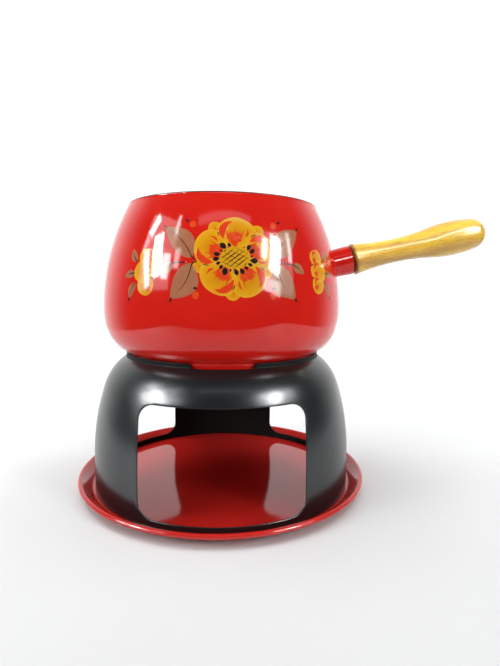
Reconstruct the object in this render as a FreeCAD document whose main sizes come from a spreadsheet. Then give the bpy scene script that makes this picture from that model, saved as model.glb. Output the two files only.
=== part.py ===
import FreeCAD, Part
import Sketcher
import math
import os

# Fondue pot set: a dished tray, a ring stand with three windows, and an
# enamelled pot with a socketed wooden handle.
# Frame: origin at the centre of the tray's flat underside, +Z up, and the
# handle points along +X.  Lengths in millimetres.

doc = FreeCAD.newDocument("fondue_pot_set")

# ------------------------------------------------------------------ sheet
CELLS = [
    # tray
    ("tray_sheet", 1.6),
    ("tray_floor_corner_radius", 106.7),
    ("tray_bead_ring_radius", 115.7),
    ("tray_bead_centre_height", 7.6),
    ("tray_bead_section_radius", 1.8),
    ("tray_inner_bend", 2.4),
    # stand
    ("stand_sheet", 1.0),
    ("stand_foot_radius", 104.4),
    ("stand_straight_top", 26.1),
    ("stand_wall_arc_radius", 190.5),
    ("stand_wall_arc_sweep", 17.36),
    ("stand_shoulder_radius", 42.26),
    ("stand_collar_radius", 78.5),
    ("stand_collar_top", 108.95),
    ("stand_collar_bend", 1.2),
    ("window_sill", 7.2),
    ("window_head", 82.6),
    ("window_sill_halfwidth", 57.1),
    ("window_head_halfwidth", 56.8),
    ("window_sill_corner", 10.5),
    ("window_head_corner", 11.0),
    ("notch_floor", 105.7),
    ("notch_mouth_halfwidth", 23.0),
    ("notch_floor_halfwidth", 20.0),
    ("window_count", 3),
    ("window_side_spacing", 118.1),
    ("window_rear_spacing", 123.8),
    # pot
    ("pot_sheet", 1.4),
    ("pot_base_height", 91.6),
    ("pot_band_radius", 76.2),
    ("pot_belly_centre_radius", 63.9),
    ("pot_belly_centre_height", 136.74),
    ("pot_belly_arc_radius", 30.62),
    ("pot_belly_arc_top", 132.12),
    ("pot_waist_arc_radius", 78.91),
    ("pot_waist_arc_top", 146.64),
    ("pot_neck_arc_radius", 177.07),
    ("pot_neck_arc_top", 220.7),
    ("pot_lip_arc_radius", 20.0),
    ("pot_rim_height", 223.9),
    ("pot_rim_round", 0.62),
    ("pot_base_bend", 7.0),
    ("pot_crease_bend", 0.6),
    # handle axis
    ("handle_axis_height", 160.2),
    ("handle_tilt", 12.63),
    # socket
    ("socket_root_radius", 11.2),
    ("socket_end_radius", 12.0),
    ("socket_bore_radius", 10.2),
    ("socket_end_station", 108.7),
    ("socket_lip_round", 0.6),
    ("socket_cut_low", 158.0),
    ("socket_cut_high", 206.0),
    ("socket_buried_start", 84.0),
    # threaded plug, washer and stud
    ("plug_inner_station", 100.7),
    ("plug_outer_station", 107.7),
    ("plug_thread_radius", 3.05),
    ("washer_thickness", 1.0),
    ("washer_radius", 11.0),
    ("washer_bore_radius", 3.3),
    ("washer_round", 0.3),
    ("stud_radius", 3.0),
    ("stud_inner_station", 98.5),
    ("stud_outer_station", 141.2),
    ("stud_chamfer", 0.7),
    # grip
    ("grip_bore_end_station", 142.2),
    ("grip_end_radius", 13.4),
    ("grip_neck_centre_station", 146.07),
    ("grip_neck_arc_radius", 184.27),
    ("grip_bulge_arc_radius", 102.04),
    ("grip_dome_radius", 12.8),
    ("grip_end_station", 225.3),
    ("grip_shoulder_round", 2.4),
]
sheet = doc.addObject("Spreadsheet::Sheet", "Dims")
sheet.Label = "Dims"
for row, (alias, value) in enumerate(CELLS, start=1):
    sheet.set("A%d" % row, alias)
    sheet.set("B%d" % row, str(value))
    sheet.setAlias("B%d" % row, alias)
doc.recompute()


def dim(alias):
    return float(sheet.get(alias))


# ---------------------------------------------------------------- helpers
def new_body(label):
    body = doc.addObject("PartDesign::Body", label)
    body.Label = label
    return body


def origin_item(body, role):
    for item in body.Origin.OriginFeatures:
        if item.Role == role:
            return item
    raise RuntimeError(role)


def new_sketch(body, name, role="XZ_Plane"):
    sk = body.newObject("Sketcher::SketchObject", name)
    sk.AttachmentSupport = [(origin_item(body, role), "")]
    sk.MapMode = "FlatFace"
    return sk


def line(sk, x0, y0, x1, y1, construction=False):
    return sk.addGeometry(Part.LineSegment(FreeCAD.Vector(x0, y0, 0),
                                           FreeCAD.Vector(x1, y1, 0)),
                          construction)


def arc(sk, cx, cy, radius, a0, a1):
    """Arc from angle a0 to a1 in degrees, counter-clockwise."""
    circle = Part.Circle(FreeCAD.Vector(cx, cy, 0), FreeCAD.Vector(0, 0, 1), radius)
    return sk.addGeometry(Part.ArcOfCircle(circle, math.radians(a0), math.radians(a1)),
                          False)


def con(sk, *args):
    return sk.addConstraint(Sketcher.Constraint(*args))


def bind(sk, expression, kind, *args):
    index = sk.addConstraint(Sketcher.Constraint(kind, *args))
    sk.setExpression("Constraints[%d]" % index, expression)
    return index


def at_x(sk, geo, pos, expression):
    value = sk.getPoint(geo, pos).x
    return bind(sk, expression, "DistanceX", -1, 1, geo, pos, value)


def at_y(sk, geo, pos, expression):
    value = sk.getPoint(geo, pos).y
    return bind(sk, expression, "DistanceY", -1, 1, geo, pos, value)


def radius_of(sk, geo, expression):
    return bind(sk, expression, "Radius", geo, sk.Geometry[geo].Radius)


def revolve(body, sk, name, axis="V_Axis"):
    feature = body.newObject("PartDesign::Revolution", name)
    feature.Profile = sk
    feature.ReferenceAxis = (sk, [axis])
    feature.Angle = 360.0
    sk.Visibility = False
    return feature


def ring_edge(shape, radius, height, axis_point, axis_dir, tol=0.05):
    """Names of circular edges by radius and by station along an axis."""
    names = []
    for i, edge in enumerate(shape.Edges, start=1):
        if edge.Degenerated:
            continue
        curve = edge.Curve
        if not isinstance(curve, Part.Circle):
            continue
        if abs(curve.Radius - radius) > tol:
            continue
        station = (curve.Center - axis_point).dot(axis_dir)
        if abs(station - height) <= tol:
            names.append("Edge%d" % i)
    return names


def add_fillet(body, base, name, edges, expression):
    if not edges:
        raise RuntimeError("no edge found for " + name)
    feature = body.newObject("PartDesign::Fillet", name)
    feature.Base = (base, edges)
    feature.Radius = 0.2
    feature.setExpression("Radius", expression)
    return feature


ORIGIN = FreeCAD.Vector(0, 0, 0)
UP = FreeCAD.Vector(0, 0, 1)
ALONG = FreeCAD.Vector(1, 0, 0)

# ------------------------------------------------------------------- tray
tray = new_body("tray")
sk = new_sketch(tray, "tray_section")
ts = dim("tray_sheet")
corner = dim("tray_floor_corner_radius")
bc = (dim("tray_bead_ring_radius"), dim("tray_bead_centre_height"))
br = dim("tray_bead_section_radius")
reach = math.hypot(bc[0] - corner, bc[1] - ts)
slope = math.atan2(bc[1] - ts, bc[0] - corner) + math.asin(br / reach)
ux, uy = math.cos(slope), math.sin(slope)
run = math.sqrt(reach ** 2 - br ** 2)
top = (corner + run * ux, ts + run * uy)
low = (corner + ts * uy, ts - ts * ux)
foot = low[0] - low[1] / uy * ux
along = (bc[0] - low[0]) * ux + (bc[1] - low[1]) * uy
off = (bc[0] - low[0]) * -uy + (bc[1] - low[1]) * ux
hit = along - math.sqrt(br ** 2 - off ** 2)
join = (low[0] + hit * ux, low[1] + hit * uy)
g0 = line(sk, 0, 0, foot, 0)
g1 = line(sk, foot, 0, join[0], join[1])
a_join = math.degrees(math.atan2(join[1] - bc[1], join[0] - bc[0]))
a_top = math.degrees(math.atan2(top[1] - bc[1], top[0] - bc[0]))
g2 = arc(sk, bc[0], bc[1], br, a_join, a_top)
g3 = line(sk, top[0], top[1], corner, ts)
g4 = line(sk, corner, ts, 0, ts)
g5 = line(sk, 0, ts, 0, 0)
con(sk, "Coincident", g0, 1, -1, 1)
con(sk, "Coincident", g0, 2, g1, 1)
con(sk, "Coincident", g1, 2, g2, 1)
con(sk, "Tangent", g2, 2, g3, 1)
con(sk, "Coincident", g3, 2, g4, 1)
con(sk, "Coincident", g4, 2, g5, 1)
con(sk, "Coincident", g5, 2, g0, 1)
con(sk, "Horizontal", g0)
con(sk, "Vertical", g5)
con(sk, "Horizontal", g4)
at_y(sk, g4, 1, "Dims.tray_sheet")
at_x(sk, g4, 1, "Dims.tray_floor_corner_radius")
at_x(sk, g2, 3, "Dims.tray_bead_ring_radius")
at_y(sk, g2, 3, "Dims.tray_bead_centre_height")
radius_of(sk, g2, "Dims.tray_bead_section_radius")
con(sk, "Parallel", g1, g3)
bind(sk, "Dims.tray_sheet", "Distance", g4, 1, g1, ts)
doc.recompute()
rev = revolve(tray, sk, "tray_turned")
doc.recompute()
bend = add_fillet(tray, rev, "tray_inside_bend",
                  ring_edge(rev.Shape, corner, ts, ORIGIN, UP), "Dims.tray_inner_bend")
doc.recompute()
outer = add_fillet(tray, bend, "tray_outside_bend",
                   ring_edge(bend.Shape, foot, 0.0, ORIGIN, UP),
                   "Dims.tray_inner_bend + Dims.tray_sheet")
doc.recompute()

# ------------------------------------------------------------------ stand
stand = new_body("stand_shell")
sk = new_sketch(stand, "stand_section")
ss = dim("stand_sheet")
r0 = dim("stand_foot_radius")
zt = dim("stand_straight_top")
R1 = dim("stand_wall_arc_radius")
sweep = math.radians(dim("stand_wall_arc_sweep"))
R2 = dim("stand_shoulder_radius")
rc = dim("stand_collar_radius")
zc = dim("stand_collar_top")
c1 = (r0 - R1, zt)
e1 = (c1[0] + R1 * math.cos(sweep), c1[1] + R1 * math.sin(sweep))
c2 = (e1[0] - R2 * math.cos(sweep), e1[1] - R2 * math.sin(sweep))
phi = math.acos((rc - c2[0]) / R2)
e2 = (rc, c2[1] + R2 * math.sin(phi))
phi_in = math.acos((rc - ss - c2[0]) / (R2 - ss))
e3 = (rc - ss, c2[1] + (R2 - ss) * math.sin(phi_in))
g0 = line(sk, r0, ts, r0, zt)
g1 = arc(sk, c1[0], c1[1], R1, 0, math.degrees(sweep))
g2 = arc(sk, c2[0], c2[1], R2, math.degrees(sweep), math.degrees(phi))
g3 = line(sk, e2[0], e2[1], rc, zc)
g4 = line(sk, rc, zc, rc - ss, zc)
g5 = line(sk, rc - ss, zc, e3[0], e3[1])
g6 = arc(sk, c2[0], c2[1], R2 - ss, math.degrees(sweep), math.degrees(phi_in))
g7 = arc(sk, c1[0], c1[1], R1 - ss, 0, math.degrees(sweep))
g8 = line(sk, r0 - ss, zt, r0 - ss, ts)
g9 = line(sk, r0 - ss, ts, r0, ts)
at_x(sk, g0, 1, "Dims.stand_foot_radius")
at_y(sk, g0, 1, "Dims.tray_sheet")
con(sk, "Vertical", g0)
at_y(sk, g0, 2, "Dims.stand_straight_top")
con(sk, "Tangent", g0, 2, g1, 1)
radius_of(sk, g1, "Dims.stand_wall_arc_radius")
bind(sk, "Dims.stand_wall_arc_sweep * 1 deg", "Angle", g1, sweep)
con(sk, "Tangent", g1, 2, g2, 1)
radius_of(sk, g2, "Dims.stand_shoulder_radius")
con(sk, "Coincident", g2, 2, g3, 1)
at_x(sk, g3, 1, "Dims.stand_collar_radius")
con(sk, "Vertical", g3)
at_y(sk, g3, 2, "Dims.stand_collar_top")
con(sk, "Coincident", g3, 2, g4, 1)
con(sk, "Horizontal", g4)
con(sk, "Coincident", g4, 2, g5, 1)
bind(sk, "Dims.stand_sheet", "Distance", g4, ss)
con(sk, "Vertical", g5)
con(sk, "Coincident", g5, 2, g6, 2)
con(sk, "Coincident", g6, 3, g2, 3)
radius_of(sk, g6, "Dims.stand_shoulder_radius - Dims.stand_sheet")
con(sk, "Tangent", g6, 1, g7, 2)
radius_of(sk, g7, "Dims.stand_wall_arc_radius - Dims.stand_sheet")
con(sk, "Tangent", g7, 1, g8, 1)
con(sk, "Vertical", g8)
con(sk, "Coincident", g8, 2, g9, 1)
con(sk, "Horizontal", g9)
con(sk, "Coincident", g9, 2, g0, 1)
bind(sk, "Dims.stand_sheet", "Distance", g9, ss)
doc.recompute()
rev = revolve(stand, sk, "stand_spun")
doc.recompute()
neck = add_fillet(stand, rev, "collar_outside_bend",
                  ring_edge(rev.Shape, rc, e2[1], ORIGIN, UP), "Dims.stand_collar_bend")
doc.recompute()
neck2 = add_fillet(stand, neck, "collar_inside_bend",
                   ring_edge(neck.Shape, rc - ss, e3[1], ORIGIN, UP),
                   "Dims.stand_collar_bend + Dims.stand_sheet")
doc.recompute()

# window: straight-sided opening with rounded corners, cut towards -Y
sk = new_sketch(stand, "window_outline")
sill, head = dim("window_sill"), dim("window_head")
ws, wh = dim("window_sill_halfwidth"), dim("window_head_halfwidth")
rs, rh = dim("window_sill_corner"), dim("window_head_corner")
lo_c = (ws - rs, sill + rs)
hi_c = (wh - rh, head - rh)
span = math.hypot(hi_c[0] - lo_c[0], hi_c[1] - lo_c[1])
al = math.atan2(hi_c[1] - lo_c[1], hi_c[0] - lo_c[0]) - math.acos((rs - rh) / span)
na = (math.cos(al), math.sin(al))
a_deg = math.degrees(al)
g0 = line(sk, -lo_c[0], sill, lo_c[0], sill)
g1 = arc(sk, lo_c[0], lo_c[1], rs, -90, a_deg)
g2 = line(sk, lo_c[0] + rs * na[0], lo_c[1] + rs * na[1],
          hi_c[0] + rh * na[0], hi_c[1] + rh * na[1])
g3 = arc(sk, hi_c[0], hi_c[1], rh, a_deg, 90)
g4 = line(sk, hi_c[0], head, -hi_c[0], head)
g5 = arc(sk, -hi_c[0], hi_c[1], rh, 90, 180 - a_deg)
g6 = line(sk, -hi_c[0] - rh * na[0], hi_c[1] + rh * na[1],
          -lo_c[0] - rs * na[0], lo_c[1] + rs * na[1])
g7 = arc(sk, -lo_c[0], lo_c[1], rs, 180 - a_deg, 270)
con(sk, "Tangent", g0, 2, g1, 1)
con(sk, "Tangent", g1, 2, g2, 1)
con(sk, "Tangent", g2, 2, g3, 1)
con(sk, "Tangent", g3, 2, g4, 1)
con(sk, "Tangent", g4, 2, g5, 1)
con(sk, "Tangent", g5, 2, g6, 1)
con(sk, "Tangent", g6, 2, g7, 1)
con(sk, "Tangent", g7, 2, g0, 1)
con(sk, "Horizontal", g0)
con(sk, "Horizontal", g4)
at_y(sk, g0, 1, "Dims.window_sill")
at_y(sk, g4, 1, "Dims.window_head")
for geo in (g1, g7):
    radius_of(sk, geo, "Dims.window_sill_corner")
for geo in (g3, g5):
    radius_of(sk, geo, "Dims.window_head_corner")
SILL_X = "Dims.window_sill_halfwidth - Dims.window_sill_corner"
HEAD_X = "Dims.window_head_halfwidth - Dims.window_head_corner"
bind(sk, SILL_X, "DistanceX", -1, 1, g1, 3, lo_c[0])
bind(sk, HEAD_X, "DistanceX", -1, 1, g3, 3, hi_c[0])
bind(sk, HEAD_X, "DistanceX", g5, 3, -1, 1, hi_c[0])
bind(sk, SILL_X, "DistanceX", g7, 3, -1, 1, lo_c[0])
doc.recompute()
window = stand.newObject("PartDesign::Pocket", "window_cut")
window.Profile = sk
window.Length = 130.0
window.Reversed = False
sk.Visibility = False
doc.recompute()


def front_missing(shape):
    """True when the wall is open at the front and closed at the back."""
    front = shape.isInside(FreeCAD.Vector(0, -(r0 - ss / 2), 20), 1e-4, True)
    back = shape.isInside(FreeCAD.Vector(0, r0 - ss / 2, 20), 1e-4, True)
    return (not front) and back


if not front_missing(window.Shape):
    window.Reversed = True
    doc.recompute()
if not front_missing(window.Shape):
    raise RuntimeError("window direction")

# notch in the collar, above the window
sk = new_sketch(stand, "notch_outline")
nf = dim("notch_floor")
nm, nw = dim("notch_mouth_halfwidth"), dim("notch_floor_halfwidth")
high = zc + 3.0
wide = nw + (nm - nw) * (high - nf) / (zc - nf)
g0 = line(sk, -nw, nf, nw, nf)
g1 = line(sk, nw, nf, wide, high)
g2 = line(sk, wide, high, -wide, high)
g3 = line(sk, -wide, high, -nw, nf)
con(sk, "Coincident", g0, 2, g1, 1)
con(sk, "Coincident", g1, 2, g2, 1)
con(sk, "Coincident", g2, 2, g3, 1)
con(sk, "Coincident", g3, 2, g0, 1)
con(sk, "Symmetric", g0, 1, g0, 2, -2)
con(sk, "Symmetric", g2, 1, g2, 2, -2)
at_y(sk, g0, 1, "Dims.notch_floor")
at_y(sk, g2, 1, "Dims.stand_collar_top + 3")
bind(sk, "2 * Dims.notch_floor_halfwidth", "Distance", g0, 2 * nw)
bind(sk, "2 * (Dims.notch_floor_halfwidth + (Dims.notch_mouth_halfwidth - "
         "Dims.notch_floor_halfwidth) * (Dims.stand_collar_top + 3 - Dims.notch_floor) / "
         "(Dims.stand_collar_top - Dims.notch_floor))", "Distance", g2, 2 * wide)
doc.recompute()
notch = stand.newObject("PartDesign::Pocket", "notch_cut")
notch.Profile = sk
notch.Length = 130.0
notch.Reversed = window.Reversed
sk.Visibility = False
doc.recompute()
pattern = stand.newObject("PartDesign::PolarPattern", "windows_and_notches")
pattern.Originals = [window, notch]
pattern.Axis = (origin_item(stand, "Z_Axis"), [""])
# the rear pillar is a little wider than the two front ones
pattern.Mode = "Spacing"
pattern.setExpression("Occurrences", "Dims.window_count")
doc.recompute()
pattern.setExpression("Offset", "Dims.window_side_spacing")
pattern.Spacings = [dim("window_side_spacing"), dim("window_rear_spacing")]
stand.Tip = pattern
doc.recompute()


# -------------------------------------------------------------------- pot
pot = new_body("pot_body")
ps = dim("pot_sheet")
zb = dim("pot_base_height")
rb = dim("pot_band_radius")
cb = (dim("pot_belly_centre_radius"), dim("pot_belly_centre_height"))
RB, RW, RN, RL = (dim("pot_belly_arc_radius"), dim("pot_waist_arc_radius"),
                  dim("pot_neck_arc_radius"), dim("pot_lip_arc_radius"))
t1 = math.asin((dim("pot_belly_arc_top") - cb[1]) / RB)
j1 = (cb[0] + RB * math.cos(t1), cb[1] + RB * math.sin(t1))
cw = (j1[0] - RW * math.cos(t1), j1[1] - RW * math.sin(t1))
t2 = math.asin((dim("pot_waist_arc_top") - cw[1]) / RW)
j2 = (cw[0] + RW * math.cos(t2), cw[1] + RW * math.sin(t2))
cn = (j2[0] - RN * math.cos(t2), j2[1] - RN * math.sin(t2))
t3 = math.asin((dim("pot_neck_arc_top") - cn[1]) / RN)
j3 = (cn[0] + RN * math.cos(t3), cn[1] + RN * math.sin(t3))
cl = (j3[0] + RL * math.cos(t3), j3[1] + RL * math.sin(t3))
t4 = math.asin((cl[1] - dim("pot_rim_height")) / RL)
j4 = (cl[0] - RL * math.cos(t4), dim("pot_rim_height"))
t4i = math.asin((cl[1] - dim("pot_rim_height")) / (RL + ps))
j4i = (cl[0] - (RL + ps) * math.cos(t4i), dim("pot_rim_height"))
t0 = -math.acos((rb - cb[0]) / RB)
j0 = (rb, cb[1] + RB * math.sin(t0))
t0i = -math.acos((rb - ps - cb[0]) / (RB - ps))
j0i = (rb - ps, cb[1] + (RB - ps) * math.sin(t0i))


def deg(a):
    return math.degrees(a)


sk = new_sketch(pot, "pot_section")
g0 = line(sk, 0, zb, rb, zb)
g1 = line(sk, rb, zb, j0[0], j0[1])
g2 = arc(sk, cb[0], cb[1], RB, deg(t0), deg(t1))
g3 = arc(sk, cw[0], cw[1], RW, deg(t1), deg(t2))
g4 = arc(sk, cn[0], cn[1], RN, deg(t2), deg(t3))
g5 = arc(sk, cl[0], cl[1], RL, 180 + deg(t4), 180 + deg(t3))
g6 = line(sk, j4[0], j4[1], j4i[0], j4i[1])
g7 = arc(sk, cl[0], cl[1], RL + ps, 180 + deg(t4i), 180 + deg(t3))
g8 = arc(sk, cn[0], cn[1], RN - ps, deg(t2), deg(t3))
g9 = arc(sk, cw[0], cw[1], RW - ps, deg(t1), deg(t2))
g10 = arc(sk, cb[0], cb[1], RB - ps, deg(t0i), deg(t1))
g11 = line(sk, j0i[0], j0i[1], rb - ps, zb + ps)
g12 = line(sk, rb - ps, zb + ps, 0, zb + ps)
g13 = line(sk, 0, zb + ps, 0, zb)
con(sk, "PointOnObject", g0, 1, -2)
at_y(sk, g0, 1, "Dims.pot_base_height")
con(sk, "Horizontal", g0)
at_x(sk, g0, 2, "Dims.pot_band_radius")
con(sk, "Coincident", g0, 2, g1, 1)
con(sk, "Vertical", g1)
con(sk, "Coincident", g1, 2, g2, 1)
at_x(sk, g2, 3, "Dims.pot_belly_centre_radius")
at_y(sk, g2, 3, "Dims.pot_belly_centre_height")
radius_of(sk, g2, "Dims.pot_belly_arc_radius")
at_y(sk, g2, 2, "Dims.pot_belly_arc_top")
con(sk, "Tangent", g2, 2, g3, 1)
radius_of(sk, g3, "Dims.pot_waist_arc_radius")
at_y(sk, g3, 2, "Dims.pot_waist_arc_top")
con(sk, "Tangent", g3, 2, g4, 1)
radius_of(sk, g4, "Dims.pot_neck_arc_radius")
at_y(sk, g4, 2, "Dims.pot_neck_arc_top")
con(sk, "Tangent", g4, 2, g5, 2)
radius_of(sk, g5, "Dims.pot_lip_arc_radius")
at_y(sk, g5, 1, "Dims.pot_rim_height")
con(sk, "Coincident", g5, 1, g6, 1)
con(sk, "Horizontal", g6)
con(sk, "Coincident", g6, 2, g7, 1)
con(sk, "Coincident", g7, 3, g5, 3)
radius_of(sk, g7, "Dims.pot_lip_arc_radius + Dims.pot_sheet")
con(sk, "Tangent", g7, 2, g8, 2)
radius_of(sk, g8, "Dims.pot_neck_arc_radius - Dims.pot_sheet")
con(sk, "Horizontal", g8, 3, g4, 3)
con(sk, "Tangent", g8, 1, g9, 2)
radius_of(sk, g9, "Dims.pot_waist_arc_radius - Dims.pot_sheet")
con(sk, "Horizontal", g9, 3, g3, 3)
con(sk, "Tangent", g9, 1, g10, 2)
radius_of(sk, g10, "Dims.pot_belly_arc_radius - Dims.pot_sheet")
con(sk, "Horizontal", g10, 3, g2, 3)
con(sk, "Coincident", g10, 1, g11, 1)
con(sk, "Vertical", g11)
at_x(sk, g11, 1, "Dims.pot_band_radius - Dims.pot_sheet")
con(sk, "Coincident", g11, 2, g12, 1)
con(sk, "Horizontal", g12)
con(sk, "Coincident", g12, 2, g13, 1)
con(sk, "Vertical", g13)
con(sk, "Coincident", g13, 2, g0, 1)
bind(sk, "Dims.pot_sheet", "Distance", g13, ps)
doc.recompute()
rev = revolve(pot, sk, "pot_drawn")
doc.recompute()
f1 = add_fillet(pot, rev, "base_outside_bend",
                ring_edge(rev.Shape, rb, zb, ORIGIN, UP), "Dims.pot_base_bend")
doc.recompute()
f2 = add_fillet(pot, f1, "base_inside_bend",
                ring_edge(f1.Shape, rb - ps, zb + ps, ORIGIN, UP),
                "Dims.pot_base_bend - Dims.pot_sheet")
doc.recompute()
f3 = add_fillet(pot, f2, "crease_outside_bend",
                ring_edge(f2.Shape, rb, j0[1], ORIGIN, UP), "Dims.pot_crease_bend")
doc.recompute()
f4 = add_fillet(pot, f3, "crease_inside_bend",
                ring_edge(f3.Shape, rb - ps, j0i[1], ORIGIN, UP),
                "Dims.pot_crease_bend + Dims.pot_sheet")
doc.recompute()
rim = (ring_edge(f4.Shape, j4[0], j4[1], ORIGIN, UP, 0.02) +
       ring_edge(f4.Shape, j4i[0], j4i[1], ORIGIN, UP, 0.02))
f5 = add_fillet(pot, f4, "rim_round", rim, "Dims.pot_rim_round")
doc.recompute()

# ----------------------------------------------------------------- socket
# A tube on the tilted handle axis, trimmed to the pot's outer wall.
tilt = math.radians(dim("handle_tilt"))
hz = dim("handle_axis_height")
hx, hy = math.cos(tilt), math.sin(tilt)
sr, se, sb = (dim("socket_root_radius"), dim("socket_end_radius"),
              dim("socket_bore_radius"))
end = dim("socket_end_station")


def station(s, r):
    return (s * hx - r * hy, hz + s * hy + r * hx)


# centre of the pot's neck arc, from the chain of tangent arcs
SIN1 = ("((Dims.pot_belly_arc_top - Dims.pot_belly_centre_height) / "
        "Dims.pot_belly_arc_radius)")
WAIST_Y = ("(Dims.pot_belly_centre_height + (Dims.pot_belly_arc_radius - "
           "Dims.pot_waist_arc_radius) * %s)" % SIN1)
SIN2 = "((Dims.pot_waist_arc_top - %s) / Dims.pot_waist_arc_radius)" % WAIST_Y
NECK_Y = ("(%s + (Dims.pot_waist_arc_radius - Dims.pot_neck_arc_radius) * %s)"
          % (WAIST_Y, SIN2))
NECK_X = ("(Dims.pot_belly_centre_radius + (Dims.pot_belly_arc_radius - "
          "Dims.pot_waist_arc_radius) * sqrt(1 - %s ^ 2) + (Dims.pot_waist_arc_radius - "
          "Dims.pot_neck_arc_radius) * sqrt(1 - %s ^ 2))" % (SIN1, SIN2))

socket = new_body("handle_socket")
sk = new_sketch(socket, "socket_section")
tip = station(end, 0)
s_in = (dim("socket_buried_start") + sr * hy) / hx
P1, P2, P3, P4 = station(s_in, sr), station(end, se), station(end, sb), station(s_in, sb)
g0 = line(sk, 0, hz, tip[0], tip[1], True)
g1 = line(sk, P1[0], P1[1], P2[0], P2[1])
g2 = line(sk, P2[0], P2[1], P3[0], P3[1])
g3 = line(sk, P3[0], P3[1], P4[0], P4[1])
g4 = line(sk, P4[0], P4[1], P1[0], P1[1])
con(sk, "PointOnObject", g0, 1, -2)
at_y(sk, g0, 1, "Dims.handle_axis_height")
bind(sk, "Dims.handle_tilt * 1 deg", "Angle", g0, tilt)
bind(sk, "Dims.socket_end_station", "Distance", g0, end)
con(sk, "Coincident", g1, 2, g2, 1)
con(sk, "Coincident", g2, 2, g3, 1)
con(sk, "Coincident", g3, 2, g4, 1)
con(sk, "Coincident", g4, 2, g1, 1)
con(sk, "Perpendicular", g2, g0)
con(sk, "Perpendicular", g4, g0)
con(sk, "PointOnObject", g0, 2, g2)
con(sk, "Parallel", g3, g0)
bind(sk, "Dims.socket_root_radius", "Distance", g1, 1, g0, sr)
bind(sk, "Dims.socket_end_radius", "Distance", g1, 2, g0, se)
bind(sk, "Dims.socket_bore_radius", "Distance", g3, 1, g0, sb)
at_x(sk, g1, 1, "Dims.socket_buried_start")
doc.recompute()
tube = revolve(socket, sk, "socket_tube", "Axis0")
doc.recompute()
sk = new_sketch(socket, "pot_wall_outline")
lo, hi = dim("socket_cut_low"), dim("socket_cut_high")
al = math.asin((lo - cn[1]) / RN)
ah = math.asin((hi - cn[1]) / RN)
pl = (cn[0] + RN * math.cos(al), lo)
ph = (cn[0] + RN * math.cos(ah), hi)
g0 = line(sk, 0, lo, pl[0], lo)
g1 = arc(sk, cn[0], cn[1], RN, deg(al), deg(ah))
g2 = line(sk, ph[0], hi, 0, hi)
g3 = line(sk, 0, hi, 0, lo)
con(sk, "PointOnObject", g0, 1, -2)
con(sk, "Horizontal", g0)
at_y(sk, g0, 1, "Dims.socket_cut_low")
con(sk, "Coincident", g0, 2, g1, 1)
radius_of(sk, g1, "Dims.pot_neck_arc_radius")
con(sk, "Coincident", g1, 2, g2, 1)
con(sk, "Horizontal", g2)
con(sk, "Coincident", g2, 2, g3, 1)
con(sk, "PointOnObject", g2, 2, -2)
at_y(sk, g2, 2, "Dims.socket_cut_high")
con(sk, "Coincident", g3, 2, g0, 1)
bind(sk, NECK_Y, "DistanceY", -1, 1, g1, 3, cn[1])
bind(sk, "-1 * " + NECK_X, "DistanceX", g1, 3, -1, 1, -cn[0])
doc.recompute()
trim = socket.newObject("PartDesign::Groove", "pot_wall_trim")
trim.Profile = sk
trim.ReferenceAxis = (sk, ["V_Axis"])
trim.Angle = 360.0
sk.Visibility = False
doc.recompute()
apex = FreeCAD.Vector(0, 0, hz)
lean = FreeCAD.Vector(hx, 0, hy)
lip = add_fillet(socket, trim, "socket_lip_round",
                 ring_edge(trim.Shape, se, end, apex, lean), "Dims.socket_lip_round")
doc.recompute()


# ------------------------------------------------- pieces on the handle axis
def lay_on_axis(body):
    """Put a body whose own X axis is the handle axis in its place."""
    body.Placement = FreeCAD.Placement(FreeCAD.Vector(0, 0, hz),
                                       FreeCAD.Rotation(FreeCAD.Vector(0, 1, 0),
                                                        -dim("handle_tilt")))


def ring_profile(sk, x0, x1, r_in, r_out, ex0, ex1, e_in, e_out):
    g0 = line(sk, x0, r_in, x1, r_in)
    g1 = line(sk, x1, r_in, x1, r_out)
    g2 = line(sk, x1, r_out, x0, r_out)
    g3 = line(sk, x0, r_out, x0, r_in)
    for a, b in ((g0, g1), (g1, g2), (g2, g3), (g3, g0)):
        con(sk, "Coincident", a, 2, b, 1)
    con(sk, "Horizontal", g0)
    con(sk, "Horizontal", g2)
    con(sk, "Vertical", g1)
    con(sk, "Vertical", g3)
    at_x(sk, g0, 1, ex0)
    at_x(sk, g0, 2, ex1)
    at_y(sk, g0, 1, e_in)
    at_y(sk, g2, 1, e_out)


plug = new_body("socket_plug")
sk = new_sketch(plug, "plug_section")
ring_profile(sk, dim("plug_inner_station"), dim("plug_outer_station"),
             dim("plug_thread_radius"), sb,
             "Dims.plug_inner_station", "Dims.plug_outer_station",
             "Dims.plug_thread_radius", "Dims.socket_bore_radius")
doc.recompute()
rev = revolve(plug, sk, "plug_turned", "H_Axis")
lay_on_axis(plug)
doc.recompute()

washer = new_body("handle_washer")
sk = new_sketch(washer, "washer_section")
wt = dim("washer_thickness")
ring_profile(sk, end, end + wt, dim("washer_bore_radius"), dim("washer_radius"),
             "Dims.socket_end_station", "Dims.socket_end_station + Dims.washer_thickness",
             "Dims.washer_bore_radius", "Dims.washer_radius")
doc.recompute()
rev = revolve(washer, sk, "washer_cut", "H_Axis")
doc.recompute()
edges = (ring_edge(rev.Shape, dim("washer_radius"), end, ORIGIN, ALONG, 0.02) +
         ring_edge(rev.Shape, dim("washer_radius"), end + wt, ORIGIN, ALONG, 0.02))
add_fillet(washer, rev, "washer_edge_round", edges, "Dims.washer_round")
lay_on_axis(washer)
doc.recompute()

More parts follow.
